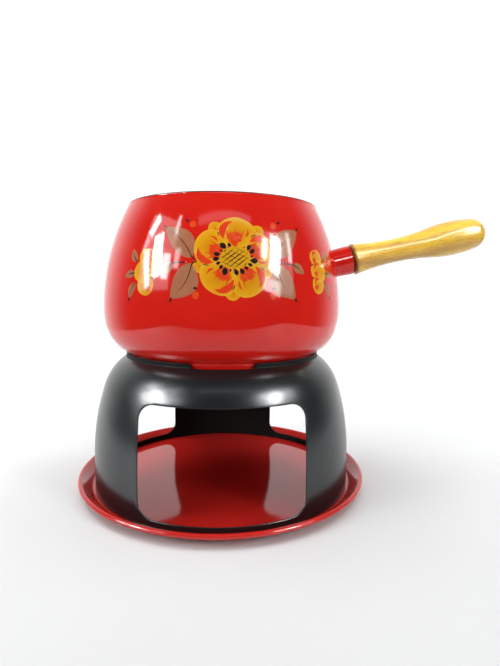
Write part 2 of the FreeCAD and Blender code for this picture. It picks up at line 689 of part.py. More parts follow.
stud = new_body("handle_stud")
sk = new_sketch(stud, "stud_section")
s0, s1 = dim("stud_inner_station"), dim("stud_outer_station")
sc, st = dim("stud_chamfer"), dim("stud_radius")
g0 = line(sk, s0, 0, s1, 0)
g1 = line(sk, s1, 0, s1, st - sc)
g2 = line(sk, s1, st - sc, s1 - sc, st)
g3 = line(sk, s1 - sc, st, s0 + sc, st)
g4 = line(sk, s0 + sc, st, s0, st - sc)
g5 = line(sk, s0, st - sc, s0, 0)
for a, b in ((g0, g1), (g1, g2), (g2, g3), (g3, g4), (g4, g5), (g5, g0)):
    con(sk, "Coincident", a, 2, b, 1)
con(sk, "PointOnObject", g0, 1, -1)
con(sk, "Horizontal", g0)
con(sk, "Vertical", g1)
con(sk, "Vertical", g5)
con(sk, "Horizontal", g3)
at_x(sk, g0, 1, "Dims.stud_inner_station")
at_x(sk, g0, 2, "Dims.stud_outer_station")
at_y(sk, g3, 1, "Dims.stud_radius")
at_y(sk, g1, 2, "Dims.stud_radius - Dims.stud_chamfer")
at_y(sk, g4, 2, "Dims.stud_radius - Dims.stud_chamfer")
at_x(sk, g3, 1, "Dims.stud_outer_station - Dims.stud_chamfer")
at_x(sk, g3, 2, "Dims.stud_inner_station + Dims.stud_chamfer")
doc.recompute()
revolve(stud, sk, "stud_turned", "H_Axis")
lay_on_axis(stud)
doc.recompute()

grip = new_body("handle_grip")
sk = new_sketch(grip, "grip_section")
x0 = end + wt
ge = dim("grip_end_radius")
nx = dim("grip_neck_centre_station")
RN2, RB2, RD = (dim("grip_neck_arc_radius"), dim("grip_bulge_arc_radius"),
                dim("grip_dome_radius"))
xe = dim("grip_end_station")
ny = ge + math.sqrt(RN2 ** 2 - (nx - x0) ** 2)
dome = (xe - RD, 0.0)
# bulge centre: RN2 + RB2 from the neck's centre, RB2 - RD from the dome's centre
d = math.hypot(dome[0] - nx, dome[1] - ny)
ra, rb2 = RN2 + RB2, RB2 - RD
a_len = (ra ** 2 - rb2 ** 2 + d ** 2) / (2 * d)
h_len = math.sqrt(ra ** 2 - a_len ** 2)
vx, vy = (dome[0] - nx) / d, (dome[1] - ny) / d
cand = [(nx + a_len * vx + k * h_len * -vy, ny + a_len * vy + k * h_len * vx)
        for k in (1, -1)]
cbg = min(cand, key=lambda c: c[0])
k1 = (nx + (cbg[0] - nx) * RN2 / ra, ny + (cbg[1] - ny) * RN2 / ra)
k2 = (dome[0] + (dome[0] - cbg[0]) * RD / rb2, dome[1] + (dome[1] - cbg[1]) * RD / rb2)


def ang(c, p):
    return math.degrees(math.atan2(p[1] - c[1], p[0] - c[0]))


xb = dim("grip_bore_end_station")
g0 = line(sk, x0, st, x0, ge)
g1 = arc(sk, nx, ny, RN2, ang((nx, ny), (x0, ge)), ang((nx, ny), k1))
g2 = arc(sk, cbg[0], cbg[1], RB2, ang(cbg, k2), ang(cbg, k1))
g3 = arc(sk, dome[0], 0, RD, 0, ang(dome, k2))
g4 = line(sk, xe, 0, xb, 0)
g5 = line(sk, xb, 0, xb, st)
g6 = line(sk, xb, st, x0, st)
con(sk, "Coincident", g0, 2, g1, 1)
con(sk, "Vertical", g0)
at_x(sk, g0, 1, "Dims.socket_end_station + Dims.washer_thickness")
at_y(sk, g0, 2, "Dims.grip_end_radius")
at_x(sk, g1, 3, "Dims.grip_neck_centre_station")
radius_of(sk, g1, "Dims.grip_neck_arc_radius")
con(sk, "Tangent", g1, 2, g2, 2)
radius_of(sk, g2, "Dims.grip_bulge_arc_radius")
con(sk, "Tangent", g2, 1, g3, 2)
radius_of(sk, g3, "Dims.grip_dome_radius")
con(sk, "PointOnObject", g3, 3, -1)
con(sk, "PointOnObject", g3, 1, -1)
con(sk, "Coincident", g3, 1, g4, 1)
at_x(sk, g4, 1, "Dims.grip_end_station")
con(sk, "Horizontal", g4)
con(sk, "Coincident", g4, 2, g5, 1)
con(sk, "Vertical", g5)
at_x(sk, g5, 1, "Dims.grip_bore_end_station")
con(sk, "Coincident", g5, 2, g6, 1)
con(sk, "Horizontal", g6)
con(sk, "Coincident", g6, 2, g0, 1)
at_y(sk, g6, 1, "Dims.stud_radius")
doc.recompute()
rev = revolve(grip, sk, "grip_turned", "H_Axis")
doc.recompute()
add_fillet(grip, rev, "grip_shoulder",
           ring_edge(rev.Shape, ge, x0, ORIGIN, ALONG, 0.02), "Dims.grip_shoulder_round")
lay_on_axis(grip)
doc.recompute()

# ----------------------------------------------------------------- output
bad = []
for obj in doc.Objects:
    if "Invalid" in obj.State or "Error" in obj.State:
        bad.append((obj.Name, list(obj.State)))
if bad:
    raise RuntimeError("features in error: %s" % bad)
os.makedirs("parts", exist_ok=True)
for body in (tray, stand, pot, socket, plug, washer, stud, grip):
    shape = body.Shape
    if shape.isNull() or not shape.isValid() or len(shape.Solids) != 1:
        raise RuntimeError("bad shape: " + body.Label)
    box = shape.BoundBox
    print("%-14s solids %d faces %3d volume %9.0f mm3  x %.1f..%.1f y %.1f..%.1f z %.1f..%.1f" % (
        body.Label, len(shape.Solids), len(shape.Faces), shape.Volume,
        box.XMin, box.XMax, box.YMin, box.YMax, box.ZMin, box.ZMax))
    shape.exportStep("parts/%s.step" % body.Label)
for obj in doc.Objects:
    if obj.TypeId == "Sketcher::SketchObject":
        print("sketch", obj.Name, "free", obj.solve(), obj.FullyConstrained)
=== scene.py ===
import math

import bpy
import numpy as np
from mathutils import Matrix, Vector


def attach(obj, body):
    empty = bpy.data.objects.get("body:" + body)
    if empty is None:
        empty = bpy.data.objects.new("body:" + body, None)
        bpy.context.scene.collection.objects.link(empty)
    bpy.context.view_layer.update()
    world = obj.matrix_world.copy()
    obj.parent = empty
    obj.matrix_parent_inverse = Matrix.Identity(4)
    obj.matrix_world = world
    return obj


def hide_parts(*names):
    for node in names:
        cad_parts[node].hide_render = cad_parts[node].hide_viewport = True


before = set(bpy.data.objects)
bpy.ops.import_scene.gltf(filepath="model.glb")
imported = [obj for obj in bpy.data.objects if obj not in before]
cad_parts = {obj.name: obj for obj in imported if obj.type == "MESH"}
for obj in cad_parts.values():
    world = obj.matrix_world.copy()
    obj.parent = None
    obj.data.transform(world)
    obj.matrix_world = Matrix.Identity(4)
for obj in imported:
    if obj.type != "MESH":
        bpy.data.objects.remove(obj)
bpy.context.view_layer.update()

scene = bpy.context.scene
MM = 0.001

# ============================================================ small helpers


def mesh_object(name, verts, faces, smooth=True, uvs=None, slots=None, face_slots=None):
    """verts in mm."""
    me = bpy.data.meshes.new(name)
    me.from_pydata([tuple(float(c) * MM for c in v) for v in verts], [],
                   [tuple(int(i) for i in f) for f in faces])
    me.update()
    if uvs is not None:
        layer = me.uv_layers.new(name="UVMap")
        loops = np.empty(len(me.loops), dtype=np.int32)
        me.loops.foreach_get("vertex_index", loops)
        layer.data.foreach_set("uv", np.asarray(uvs, dtype=np.float32)[loops].ravel())
    ob = bpy.data.objects.new(name, me)
    scene.collection.objects.link(ob)
    for m in (slots or []):
        me.materials.append(m)
    if face_slots is not None:
        me.polygons.foreach_set("material_index", np.asarray(face_slots, dtype=np.int32))
    me.polygons.foreach_set("use_smooth", np.full(len(me.polygons), True) & np.asarray(smooth, dtype=bool))
    me.update()
    return ob


def arc_points(cx, cy, r, a0, a1, n):
    a = np.radians(np.linspace(a0, a1, n))
    return [(cx + r * math.cos(t), cy + r * math.sin(t)) for t in a]


def lathe(profile, segments):
    """Closed body of revolution about Z from an (r, z) loop whose first and last points lie on
    the axis.  Returns verts, faces and, per face, the index of its profile step."""
    prof = np.asarray(profile, dtype=float)
    inner = prof[1:-1]
    n = len(inner)
    a = np.linspace(0, 2 * np.pi, segments, endpoint=False)
    ring = np.stack([np.outer(np.cos(a), inner[:, 0]), np.outer(np.sin(a), inner[:, 0]),
                     np.tile(inner[:, 1], (segments, 1))], axis=-1).reshape(-1, 3)
    verts = [tuple(v) for v in ring]
    first, last = len(verts), len(verts) + 1
    verts += [(0, 0, prof[0, 1]), (0, 0, prof[-1, 1])]
    faces, step = [], []
    for i in range(segments):
        j = (i + 1) % segments
        faces.append((first, j * n, i * n)); step.append(0)
        for k in range(n - 1):
            faces.append((i * n + k, j * n + k, j * n + k + 1, i * n + k + 1)); step.append(k + 1)
        faces.append((last, i * n + n - 1, j * n + n - 1)); step.append(n)
    return verts, faces, step


# =============================================================== materials


class Nodes:
    """Short-hand for building a shader."""

    def __init__(self, name):
        self.mat = bpy.data.materials.new(name)
        self.mat.use_nodes = True
        self.nt = self.mat.node_tree
        self.nt.nodes.clear()
        self.out = self.nt.nodes.new("ShaderNodeOutputMaterial")
        self.bsdf = self.nt.nodes.new("ShaderNodeBsdfPrincipled")
        self.nt.links.new(self.bsdf.outputs[0], self.out.inputs[0])
        self.tc = self.nt.nodes.new("ShaderNodeTexCoord")

    def set(self, **values):
        for key, value in values.items():
            self.bsdf.inputs[key.replace("_", " ")].default_value = value

    def link(self, a, b):
        self.nt.links.new(a, b)

    def node(self, kind, **inputs):
        n = self.nt.nodes.new(kind)
        for key, value in inputs.items():
            if key.startswith("p_"):
                setattr(n, key[2:], value)
        for key, value in inputs.items():
            if key.startswith("p_"):
                continue
            sock = n.inputs[int(key[1:])] if key[0] == "i" and key[1:].isdigit() else n.inputs[key.replace("_", " ")]
            if isinstance(value, bpy.types.NodeSocket):
                self.nt.links.new(value, sock)
            else:
                sock.default_value = value
        return n

    def math(self, op, a, b=0.0, c=0.0, clamp=False):
        n = self.node("ShaderNodeMath", p_operation=op, i0=a, i1=b, i2=c)
        n.use_clamp = clamp
        return n.outputs[0]

    def noise(self, vector, scale, detail=2.0, rough=0.5, distortion=0.0):
        n = self.node("ShaderNodeTexNoise", Vector=vector, Scale=scale, Detail=detail,
                      Roughness=rough, Distortion=distortion)
        return n.outputs["Fac"]

    def ramp(self, fac, stops, interpolation="LINEAR"):
        n = self.node("ShaderNodeValToRGB", Fac=fac)
        cr = n.color_ramp
        cr.interpolation = interpolation
        while len(cr.elements) < len(stops):
            cr.elements.new(0.5)
        for e, (p, c) in zip(cr.elements, stops):
            e.position = p
            e.color = (*c, 1.0) if len(c) == 3 else c
        return n.outputs["Color"]

    def map(self, value, a, b, c, d, smooth=False):
        n = self.node("ShaderNodeMapRange", i0=value, i1=a, i2=b, i3=c, i4=d)
        n.interpolation_type = "SMOOTHSTEP" if smooth else "LINEAR"
        return n.outputs[0]

    def mix(self, fac, a, b, blend="MIX"):
        n = self.nt.nodes.new("ShaderNodeMix")
        n.data_type = "RGBA"
        n.blend_type = blend
        for key, value in (("Factor", fac), ("A", a), ("B", b)):
            sock = [s for s in n.inputs if s.name == key and (
                s.type == ("VALUE" if key == "Factor" else "RGBA"))][0]
            if isinstance(value, bpy.types.NodeSocket):
                self.nt.links.new(value, sock)
            else:
                sock.default_value = value if key == "Factor" else (*value, 1.0)
        return [s for s in n.outputs if s.type == "RGBA"][0]

    def bump(self, height, distance, strength=1.0, normal=None):
        n = self.node("ShaderNodeBump", Height=height, Distance=distance, Strength=strength)
        if normal is not None:
            self.nt.links.new(normal, n.inputs["Normal"])
        return n.outputs[0]

    def normal(self, socket):
        self.nt.links.new(socket, self.bsdf.inputs["Normal"])

    def colour(self, socket):
        self.nt.links.new(socket, self.bsdf.inputs["Base Color"])

    def rough(self, socket):
        self.nt.links.new(socket, self.bsdf.inputs["Roughness"])


def enamel(name, low, high, rough0, rough1, peel=1.0, speck=None, spec=0.5):
    """Fired glossy enamel: faint colour drift, orange peel and tiny specks."""
    m = Nodes(name)
    p = m.tc.outputs["Object"]
    drift = m.noise(p, 22.0, 3.0, 0.55)
    fine = m.noise(p, 420.0, 2.0, 0.6)
    base = m.mix(m.map(drift, 0.3, 0.7, 0.0, 1.0), low, high)
    if speck:
        pores = m.node("ShaderNodeTexVoronoi", Vector=p, Scale=520.0).outputs["Distance"]
        gate = m.math("GREATER_THAN", m.noise(p, 160.0, 1.0), 0.66)
        dot = m.math("MULTIPLY", m.math("LESS_THAN", pores, 0.16), gate)
        base = m.mix(m.math("MULTIPLY", dot, 0.55), base, speck)
    m.colour(base)
    m.rough(m.map(m.math("ADD", m.math("MULTIPLY", drift, 0.7), m.math("MULTIPLY", fine, 0.3)),
                  0.3, 0.7, rough0, rough1))
    wave = m.noise(p, 95.0, 1.0, 0.4)
    wave2 = m.noise(p, 260.0, 2.0, 0.5)
    height = m.math("ADD", wave, m.math("MULTIPLY", wave2, 0.35))
    m.normal(m.bump(height, 0.000085 * peel, 0.55))
    m.set(IOR=1.5, Specular_IOR_Level=spec)
    return m.mat


RED_LO, RED_HI = (0.555, 0.0078, 0.0032), (0.610, 0.0110, 0.0044)
pot_red = enamel("enamel_red_pot", RED_LO, RED_HI, 0.055, 0.10, 1.0, (0.34, 0.005, 0.003))
tray_red = enamel("enamel_red_tray", (0.400, 0.0125, 0.0092), (0.460, 0.0145, 0.0102), 0.06, 0.11, 0.7,
                  (0.26, 0.005, 0.003))
socket_red = enamel("enamel_red_socket", RED_LO, RED_HI, 0.06, 0.10, 0.8)
rim_dark = enamel("enamel_rim_dark", (0.022, 0.012, 0.011), (0.050, 0.020, 0.016), 0.16, 0.30, 1.2)
inside_dark = enamel("enamel_inside_charcoal", (0.016, 0.016, 0.018), (0.024, 0.024, 0.026),
                     0.10, 0.18, 1.1, (0.16, 0.16, 0.16))


def satin_black():
    m = Nodes("enamel_black_satin")
    p = m.tc.outputs["Object"]
    drift = m.noise(p, 16.0, 3.0, 0.55)
    fine = m.noise(p, 900.0, 2.0, 0.6)
    m.colour(m.mix(m.map(drift, 0.3, 0.7, 0.0, 1.0), (0.0030, 0.0052, 0.0060), (0.0046, 0.0074, 0.0084)))
    m.rough(m.map(m.math("ADD", m.math("MULTIPLY", drift, 0.6), m.math("MULTIPLY", fine, 0.4)),
                  0.3, 0.7, 0.235, 0.275))
    grain = m.noise(p, 1500.0, 2.0, 0.6)
    wave = m.noise(p, 70.0, 1.0, 0.4)
    m.normal(m.bump(m.math("ADD", m.math("MULTIPLY", grain, 0.10), wave), 0.00009, 0.5))
    m.set(IOR=1.5, Specular_IOR_Level=0.60)
    return m.mat


stand_black = satin_black()


def painted_shade_black():
    """Painted shade: a darker, dull black for the collar under the pot and for the stand's inside faces, standing in
    for the shadow there.
    """
    m = Nodes("enamel_black_painted_shade")
    p = m.tc.outputs["Object"]
    n = m.noise(p, 700.0, 3.0, 0.65)
    m.colour(m.mix(n, (0.0020, 0.0020, 0.0022), (0.0050, 0.0045, 0.0045)))
    m.rough(m.map(n, 0.3, 0.7, 0.42, 0.62))
    m.normal(m.bump(n, 0.00004, 0.4))
    m.set(IOR=1.45, Specular_IOR_Level=0.12)
    return m.mat


painted_shade_mat = painted_shade_black()


def steel(name, tint, rough):
    m = Nodes(name)
    p = m.tc.outputs["Object"]
    lines = m.noise(p, 700.0, 3.0, 0.7)
    m.colour(m.mix(lines, tuple(c * 0.82 for c in tint), tint))
    m.rough(m.map(lines, 0.3, 0.7, rough - 0.07, rough + 0.08))
    m.normal(m.bump(lines, 0.00002, 0.4))
    m.set(Metallic=1.0)
    return m.mat


plug_steel = steel("steel_turned", (0.56, 0.55, 0.54), 0.34)
stud_steel = steel("steel_zinc_plated", (0.62, 0.61, 0.57), 0.28)


def fibre():
    m = Nodes("washer_fibre")
    p = m.tc.outputs["Object"]
    n = m.noise(p, 900.0, 4.0, 0.7)
    m.colour(m.ramp(n, [(0.30, (0.016, 0.008, 0.005)), (0.70, (0.060, 0.026, 0.013))]))
    m.rough(m.map(n, 0.3, 0.7, 0.55, 0.75))
    m.normal(m.bump(n, 0.00008, 0.6))
    return m.mat


washer_mat = fibre()

TILT = math.radians(12.63)
AXIS_Z = 160.2
LEAN = Vector((math.cos(TILT), 0.0, math.sin(TILT)))
SIDE = Vector((0.0, 1.0, 0.0))
CROWN = Vector((-math.sin(TILT), 0.0, math.cos(TILT)))
APEX = Vector((0.0, 0.0, AXIS_Z))


def wood():
    m = Nodes("wood_lacquered")
    p = m.node("ShaderNodeVectorMath", p_operation="SUBTRACT", i0=m.tc.outputs["Object"],
               i1=(0.0, 0.0, AXIS_Z * MM)).outputs[0]

    def along(v):
        return m.node("ShaderNodeVectorMath", p_operation="DOT_PRODUCT", i0=p, i1=tuple(v)).outputs["Value"]
    x, y, z = along(LEAN), along(SIDE), along(CROWN)

    def stretched(kx, ky, kz):
        return m.node("ShaderNodeCombineXYZ", X=m.math("MULTIPLY", x, kx), Y=m.math("MULTIPLY", y, ky),
                      Z=m.math("MULTIPLY", z, kz)).outputs[0]
    # growth layers: slightly wavy sheets that run along the handle
    warp = m.noise(stretched(9.0, 30.0, 30.0), 1.0, 3.0, 0.55)
    layer = m.math("ADD", m.math("ADD", m.math("MULTIPLY", z, 520.0), m.math("MULTIPLY", y, 210.0)),
                   m.math("ADD", m.math("MULTIPLY", x, 26.0), m.math("MULTIPLY", warp, 5.5)))
    rings = m.math("MULTIPLY", m.math("ADD", m.math("SINE", layer), 1.0), 0.5)
    rings = m.math("POWER", rings, 2.2)
    broad = m.noise(stretched(7.0, 95.0, 95.0), 1.0, 3.0, 0.6)
    fibre_n = m.noise(stretched(38.0, 1500.0, 1500.0), 1.0, 3.0, 0.65)
    pores = m.noise(stretched(70.0, 2300.0, 2300.0), 1.0, 2.0, 0.5)
    base = m.ramp(broad, [(0.28, (0.50, 0.232, 0.006)), (0.50, (0.70, 0.405, 0.013)),
                          (0.74, (0.81, 0.520, 0.028))])
    base = m.mix(m.math("MULTIPLY", rings, 0.50), base, (0.33, 0.135, 0.012))
    base = m.mix(m.map(fibre_n, 0.35, 0.68, 0.0, 0.30), base, (0.66, 0.45, 0.12))
    base = m.mix(m.map(pores, 0.56, 0.70, 0.0, 0.70), base, (0.17, 0.065, 0.010))
    # darker shoulder next to the socket, and a little darker at the domed end
    shoulder_dark = m.map(m.math("ADD", x, m.math("MULTIPLY", m.math("SUBTRACT", warp, 0.5), 0.004)),
                  0.1098, 0.1144, 1.0, 0.0, True)
    base = m.mix(m.math("MULTIPLY", shoulder_dark, 0.72), base, (0.050, 0.017, 0.006))
    tail = m.map(x, 0.2165, 0.2255, 0.0, 1.0, True)
    base = m.mix(m.math("MULTIPLY", tail, 0.35), base, (0.36, 0.19, 0.045))
    m.colour(base)
    m.rough(m.map(fibre_n, 0.3, 0.7, 0.30, 0.42))
    m.normal(m.bump(m.math("ADD", m.math("MULTIPLY", pores, 0.5), fibre_n), 0.00005, 0.35))
    m.set(IOR=1.45, Coat_Weight=0.7, Coat_Roughness=0.08, Coat_IOR=1.5)
    return m.mat


grip_wood = wood()

# printed colours under the glaze


def print_ink(name, a, b, rough=0.09, grainy=0.0):
    m = Nodes(name)
    p = m.tc.outputs["Object"]
    n = m.noise(p, 260.0, 3.0, 0.6)
    m.colour(m.mix(m.map(n, 0.3, 0.7, 0.0, 1.0), a, b))
    m.rough(m.map(n, 0.3, 0.7, rough - 0.02, rough + 0.05))
    wave = m.noise(p, 95.0, 1.0, 0.4)
    m.normal(m.bump(wave, 0.00008, 0.5))
    m.set(IOR=1.5)
    return m.mat


def petal_ink():
    """Golden petal: paler towards its edge, streaked from its root."""
    m = Nodes("print_gold_petal")
    p = m.tc.outputs["Object"]
    sep = m.node("ShaderNodeSeparateXYZ", Vector=m.tc.outputs["UV"])
    t = sep.outputs[1]
    cloud = m.noise(p, 170.0, 3.0, 0.6)
    base = m.ramp(m.math("ADD", t, m.math("MULTIPLY", m.math("SUBTRACT", cloud, 0.5), 0.35)),
                  [(0.05, (0.60, 0.205, 0.002)), (0.45, (0.64, 0.262, 0.003)), (0.86, (0.68, 0.318, 0.006)),
                   (1.0, (0.71, 0.365, 0.020))])
    m.colour(base)
    m.rough(m.map(cloud, 0.3, 0.7, 0.06, 0.12))
    wave = m.noise(p, 95.0, 1.0, 0.4)
    m.normal(m.bump(wave, 0.00008, 0.5))
    m.set(IOR=1.5)
    return m.mat


def brush_ink():
    """Orange brush mark whose edges break up into the gold under it."""
    m = Nodes("print_orange_brush")
    p = m.tc.outputs["Object"]
    sep = m.node("ShaderNodeSeparateXYZ", Vector=m.tc.outputs["UV"])
    edge = sep.outputs[1]          # 0 in the middle of the mark, 1 at its edge
    dry = m.noise(p, 1250.0, 3.0, 0.75)
    broad = m.noise(p, 300.0, 2.0, 0.6)
    level = m.math("ADD", m.math("MULTIPLY", edge, 0.62), m.math("MULTIPLY", broad, 0.42))
    cover = m.map(m.math("SUBTRACT", m.math("ADD", dry, 0.32), level), -0.02, 0.06, 0.0, 1.0)
    m.colour(m.mix(cover, (0.64, 0.270, 0.004), (0.66, 0.042, 0.006)))
    m.rough(m.map(broad, 0.3, 0.7, 0.06, 0.12))
    wave = m.noise(p, 95.0, 1.0, 0.4)
    m.normal(m.bump(wave, 0.00008, 0.5))
    m.set(IOR=1.5)
    return m.mat


ink_petal = petal_ink()
ink_brush = brush_ink()
ink_heart = print_ink("print_gold_heart", (0.58, 0.270, 0.005), (0.64, 0.325, 0.008))
ink_leaf = print_ink("print_leaf_brown", (0.335, 0.120, 0.056), (0.385, 0.150, 0.070))
ink_black = print_ink("print_black", (0.006, 0.005, 0.006), (0.012, 0.009, 0.009))
ink_dot = print_ink("print_orange_dot", (0.62, 0.050, 0.007), (0.68, 0.070, 0.010))

# ==================================================== profiles of the pot
PS = 1.4
CB = (63.9, 136.74)
RB, RW, RN, RL = 30.62, 78.91, 177.07, 20.0
T1 = math.asin((132.12 - CB[1]) / RB)
J1 = (CB[0] + RB * math.cos(T1), CB[1] + RB * math.sin(T1))
CW = (J1[0] - RW * math.cos(T1), J1[1] - RW * math.sin(T1))
T2 = math.asin((146.64 - CW[1]) / RW)
J2 = (CW[0] + RW * math.cos(T2), CW[1] + RW * math.sin(T2))
CN = (J2[0] - RN * math.cos(T2), J2[1] - RN * math.sin(T2))
T3 = math.asin((220.7 - CN[1]) / RN)
J3 = (CN[0] + RN * math.cos(T3), CN[1] + RN * math.sin(T3))
CL = (J3[0] + RL * math.cos(T3), J3[1] + RL * math.sin(T3))
RIM_Z = 223.9


def pot_radius(z):
    """Outer radius of the pot's wall, from the belly up to the neck (mm)."""
    z = np.asarray(z, dtype=float)
    low = CB[0] + np.sqrt(np.maximum(RB ** 2 - (z - CB[1]) ** 2, 0))
    mid = CW[0] + np.sqrt(np.maximum(RW ** 2 - (z - CW[1]) ** 2, 0))
    top = CN[0] + np.sqrt(np.maximum(RN ** 2 - (z - CN[1]) ** 2, 0))
    return np.where(z < 132.12, low, np.where(z < J2[1], mid, top))


D = math.degrees
BAND = 76.2
t4 = math.asin((CL[1] - (RIM_Z - 0.70)) / RL)
t4i = math.asin((CL[1] - (RIM_Z - 0.70)) / (RL + PS))
rim_out = (CL[0] - RL * math.cos(t4), RIM_Z - 0.70)
rim_in = (CL[0] - (RL + PS) * math.cos(t4i), RIM_Z - 0.70)
rim_mid = ((rim_out[0] + rim_in[0]) / 2, RIM_Z - 0.70)
rim_r = (rim_out[0] - rim_in[0]) / 2
outer = [(0, 91.6)] + [(r, 91.6) for r in (20, 40, 55, 64)]
outer += arc_points(69.2, 98.6, 7.0, -90, 0, 13)
crz = CB[1] - math.sqrt((RB + 0.6) ** 2 - (BAND + 0.6 - CB[0]) ** 2)
a_cr = D(math.atan2(CB[1] - crz, CB[0] - (BAND + 0.6)))
outer += [(BAND, 101.5), (BAND, 105.0)]
outer += arc_points(BAND + 0.6, crz, 0.6, 180, a_cr, 6)
a_b = a_cr - 180
outer += arc_points(CB[0], CB[1], RB, a_b, D(T1), 34)[1:]
outer += arc_points(CW[0], CW[1], RW, D(T1), D(T2), 12)[1:]
outer += arc_points(CN[0], CN[1], RN, D(T2), D(T3), 44)[1:]
outer += arc_points(CL[0], CL[1], RL, 180 + D(T3), 180 + D(t4), 5)[1:]
n_outer = len(outer)
cap = [(rim_mid[0] + rim_r * math.cos(a), rim_mid[1] + 0.70 * math.sin(a))
       for a in np.linspace(0, math.pi, 11)][1:-1]
inner = arc_points(CL[0], CL[1], RL + PS, 180 + D(t4i), 180 + D(T3), 5)
inner += arc_points(CN[0], CN[1], RN - PS, D(T3), D(T2), 44)[1:]
inner += arc_points(CW[0], CW[1], RW - PS, D(T2), D(T1), 12)[1:]
bi = BAND - PS
cri = CB[1] - math.sqrt((RB - PS + 2.0) ** 2 - (bi + 2.0 - CB[0]) ** 2)
a_ci = D(math.atan2(CB[1] - cri, CB[0] - (bi + 2.0)))
inner += arc_points(CB[0], CB[1], RB - PS, D(T1), a_ci - 180, 30)[1:]
inner += arc_points(bi + 2.0, cri, 2.0, a_ci, 180, 8)[1:]
inner += [(bi, 102.0)]
inner += arc_points(69.2, 98.6, 5.6, 0, -90, 11)
inner += [(r, 93.0) for r in (60, 45, 25)] + [(0, 93.0)]
profile = outer + cap + inner
verts, faces, step = lathe(profile, 288)
RIM_STEPS = (n_outer - 1, n_outer + len(cap) + 1)
face_slots = [1 if RIM_STEPS[0] <= s < RIM_STEPS[1] else (0 if s < RIM_STEPS[0] else 2) for s in step]
pot_shell = mesh_object("pot_enamelled_shell", verts, faces, slots=[pot_red, rim_dark, inside_dark],
                        face_slots=face_slots)
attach(pot_shell, "pot")
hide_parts("pot_body")

# ============================================== printed flowers on the pot
# Each mark is a closed relief, a few hundredths of a millimetre proud of the wall, laid out in
# millimetres around an anchor: u runs round the pot, v runs up its wall.
_z = np.linspace(108.9, 222.0, 2400)
_r = pot_radius(_z)
_s = np.concatenate([[0], np.cumsum(np.hypot(np.diff(_r), np.diff(_z)))])


def wall_point(theta, s, h):
    z = np.interp(s, _s, _z)
    r = np.interp(s, _s, _r)
    dr = (np.interp(s + 0.3, _s, _r) - np.interp(s - 0.3, _s, _r)) / 0.6
    dz = (np.interp(s + 0.3, _s, _z) - np.interp(s - 0.3, _s, _z)) / 0.6
    rr, zz = r + h * dz, z - h * dr
    return np.stack([rr * np.sin(theta), -rr * np.cos(theta), zz], axis=-1)


def on_wall(anchor, u, v, h):
    theta0, z0 = math.radians(anchor[0]), anchor[1]
    s0 = np.interp(z0, _z, _s)
    s = s0 + v
    return wall_point(theta0 + u / np.interp(s, _s, _r), s, h)


